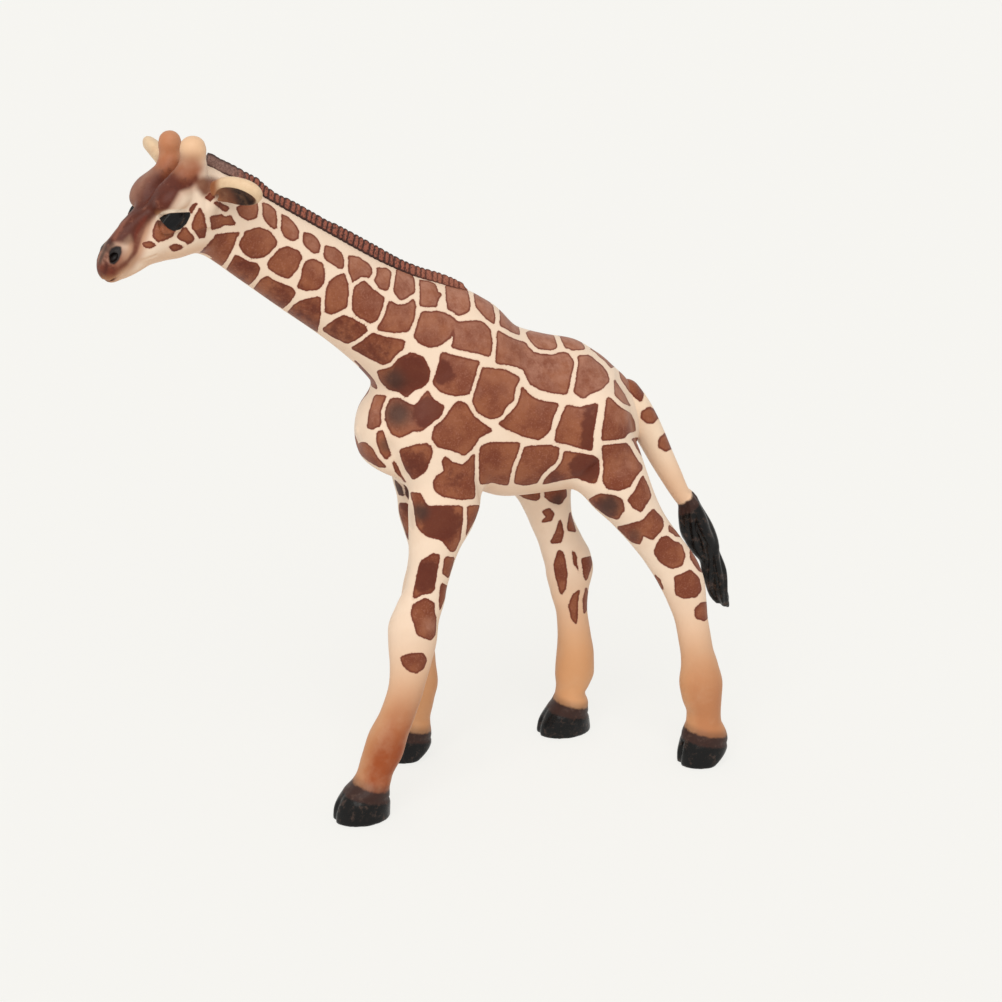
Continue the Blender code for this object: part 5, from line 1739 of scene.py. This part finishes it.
def mane_material():
    """Dark brown with the ribs rubbed lighter."""
    s = Shader("mane_brown_ribs")
    fine = s.noise(3.0, 4.0)
    rib = s.times(s.attribute("rib"), s.between(s.attribute("edge"), 0.02, 0.3))
    rib = s.times(rib, s.between(fine, 0.3, 0.6, 0.35, 1.0))
    colour = s.blend(s.between(rib, 0.25, 0.85), (56, 28, 22), (150, 86, 68))
    front = s.blend(s.between(fine, 0.3, 0.7), (106, 76, 68), (148, 116, 106))
    front = s.blend(s.between(s.attribute("edge"), 0.05, 0.5), (52, 30, 26), front)
    colour = s.blend(s.between(s.attribute("along"), 0.84, 0.93), colour, front)
    back = s.blend(s.between(rib, 0.2, 0.8), (92, 48, 36), (158, 98, 78))
    colour = s.blend(s.between(s.attribute("along"), 0.10, 0.26, 1.0, 0.0), colour, back)
    return s.finish(colour, s.between(fine, 0.3, 0.7, 0.42, 0.56), fine, 0.5, 0.00012, 0.3)


def plain_floor():
    """A pale floor that shows white to the camera and keeps the figure's shadow."""
    mesh = bpy.data.meshes.new("floor")
    square = ((-1, -1), (1, -1), (1, 1), (-1, 1))
    corners = [(x * FLOOR_HALF, y * FLOOR_HALF, FLOOR_LEVEL) for x, y in square]
    mesh.from_pydata(corners, [], [(0, 1, 2, 3)])
    s = Shader("floor_paper")
    colour = s.blend(s.between(s.noise(0.02, 2.0), 0.3, 0.7, 0.0, 0.02), PAPER, (244, 243, 238))
    s.link(colour, s.shader.inputs["Base Color"])
    s.link(0.9, s.shader.inputs["Roughness"])
    s.link(0.1, s.shader.inputs["Specular IOR Level"])
    glow = s.nodes.new("ShaderNodeEmission")
    s.link(PAPER, glow.inputs["Color"])
    s.show(s.times(s.white_rays(), 0.85), s.shader, glow, "Material Output")
    mesh.materials.append(s.material)
    floor = new_object("floor", mesh)


def white_world(strength):
    """An even white surround."""
    world = bpy.data.worlds.new("surround")
    bpy.context.scene.world = world
    world.use_nodes = True
    surround = Nodes(world.node_tree)
    light = surround.nodes["Background"]
    light.inputs["Color"].default_value = (1.0, 0.99, 0.97, 1)
    light.inputs["Strength"].default_value = strength
    seen = surround.nodes.new("ShaderNodeBackground")
    surround.link((246, 245, 240), seen.inputs["Color"])
    surround.show(surround.white_rays(), light, seen, "World Output")


def sun_light(towards, strength, softness):
    """A soft distant lamp."""
    data = bpy.data.lights.new("key", "SUN")
    data.energy = strength
    data.angle = np.radians(softness)
    data.color = (1.0, 0.985, 0.96)
    lamp = new_object("key", data)
    lamp.rotation_euler = Vector(towards).to_track_quat("-Z", "Y").to_euler()


def photo_camera():
    """The photograph's camera."""
    data = bpy.data.cameras.new("camera")
    data.lens = LENS
    data.sensor_width = SENSOR
    data.clip_start = 0.01
    data.clip_end = 50
    camera = new_object("camera", data)
    camera.location = Vector((STANDPOINT + STAND) * MM)
    camera.rotation_euler = Vector(-BACK).to_track_quat("-Z", "Y").to_euler()
    bpy.context.scene.camera = camera


ear_coat = plain_material("cream_pvc_ears")
tail_coat = coat_material("cream_pvc_tail")
for side, name in ((1, "ear_left"), (-1, "ear_right")):
    clay = sculpt_ear(side)
    piece(name + "_leaf", solid(*skin(clay)), clay, paint_ear(side), ear_coat, name)
clay = sculpt_tail()
piece("tail_skin", solid(*skin(clay)), clay, paint_tail, tail_coat, "tail")
make_mane(mane_material())

plain_floor()
white_world(SURROUND)
sun_light(*SUN)
photo_camera()
bpy.context.scene.view_settings.view_transform = "Standard"
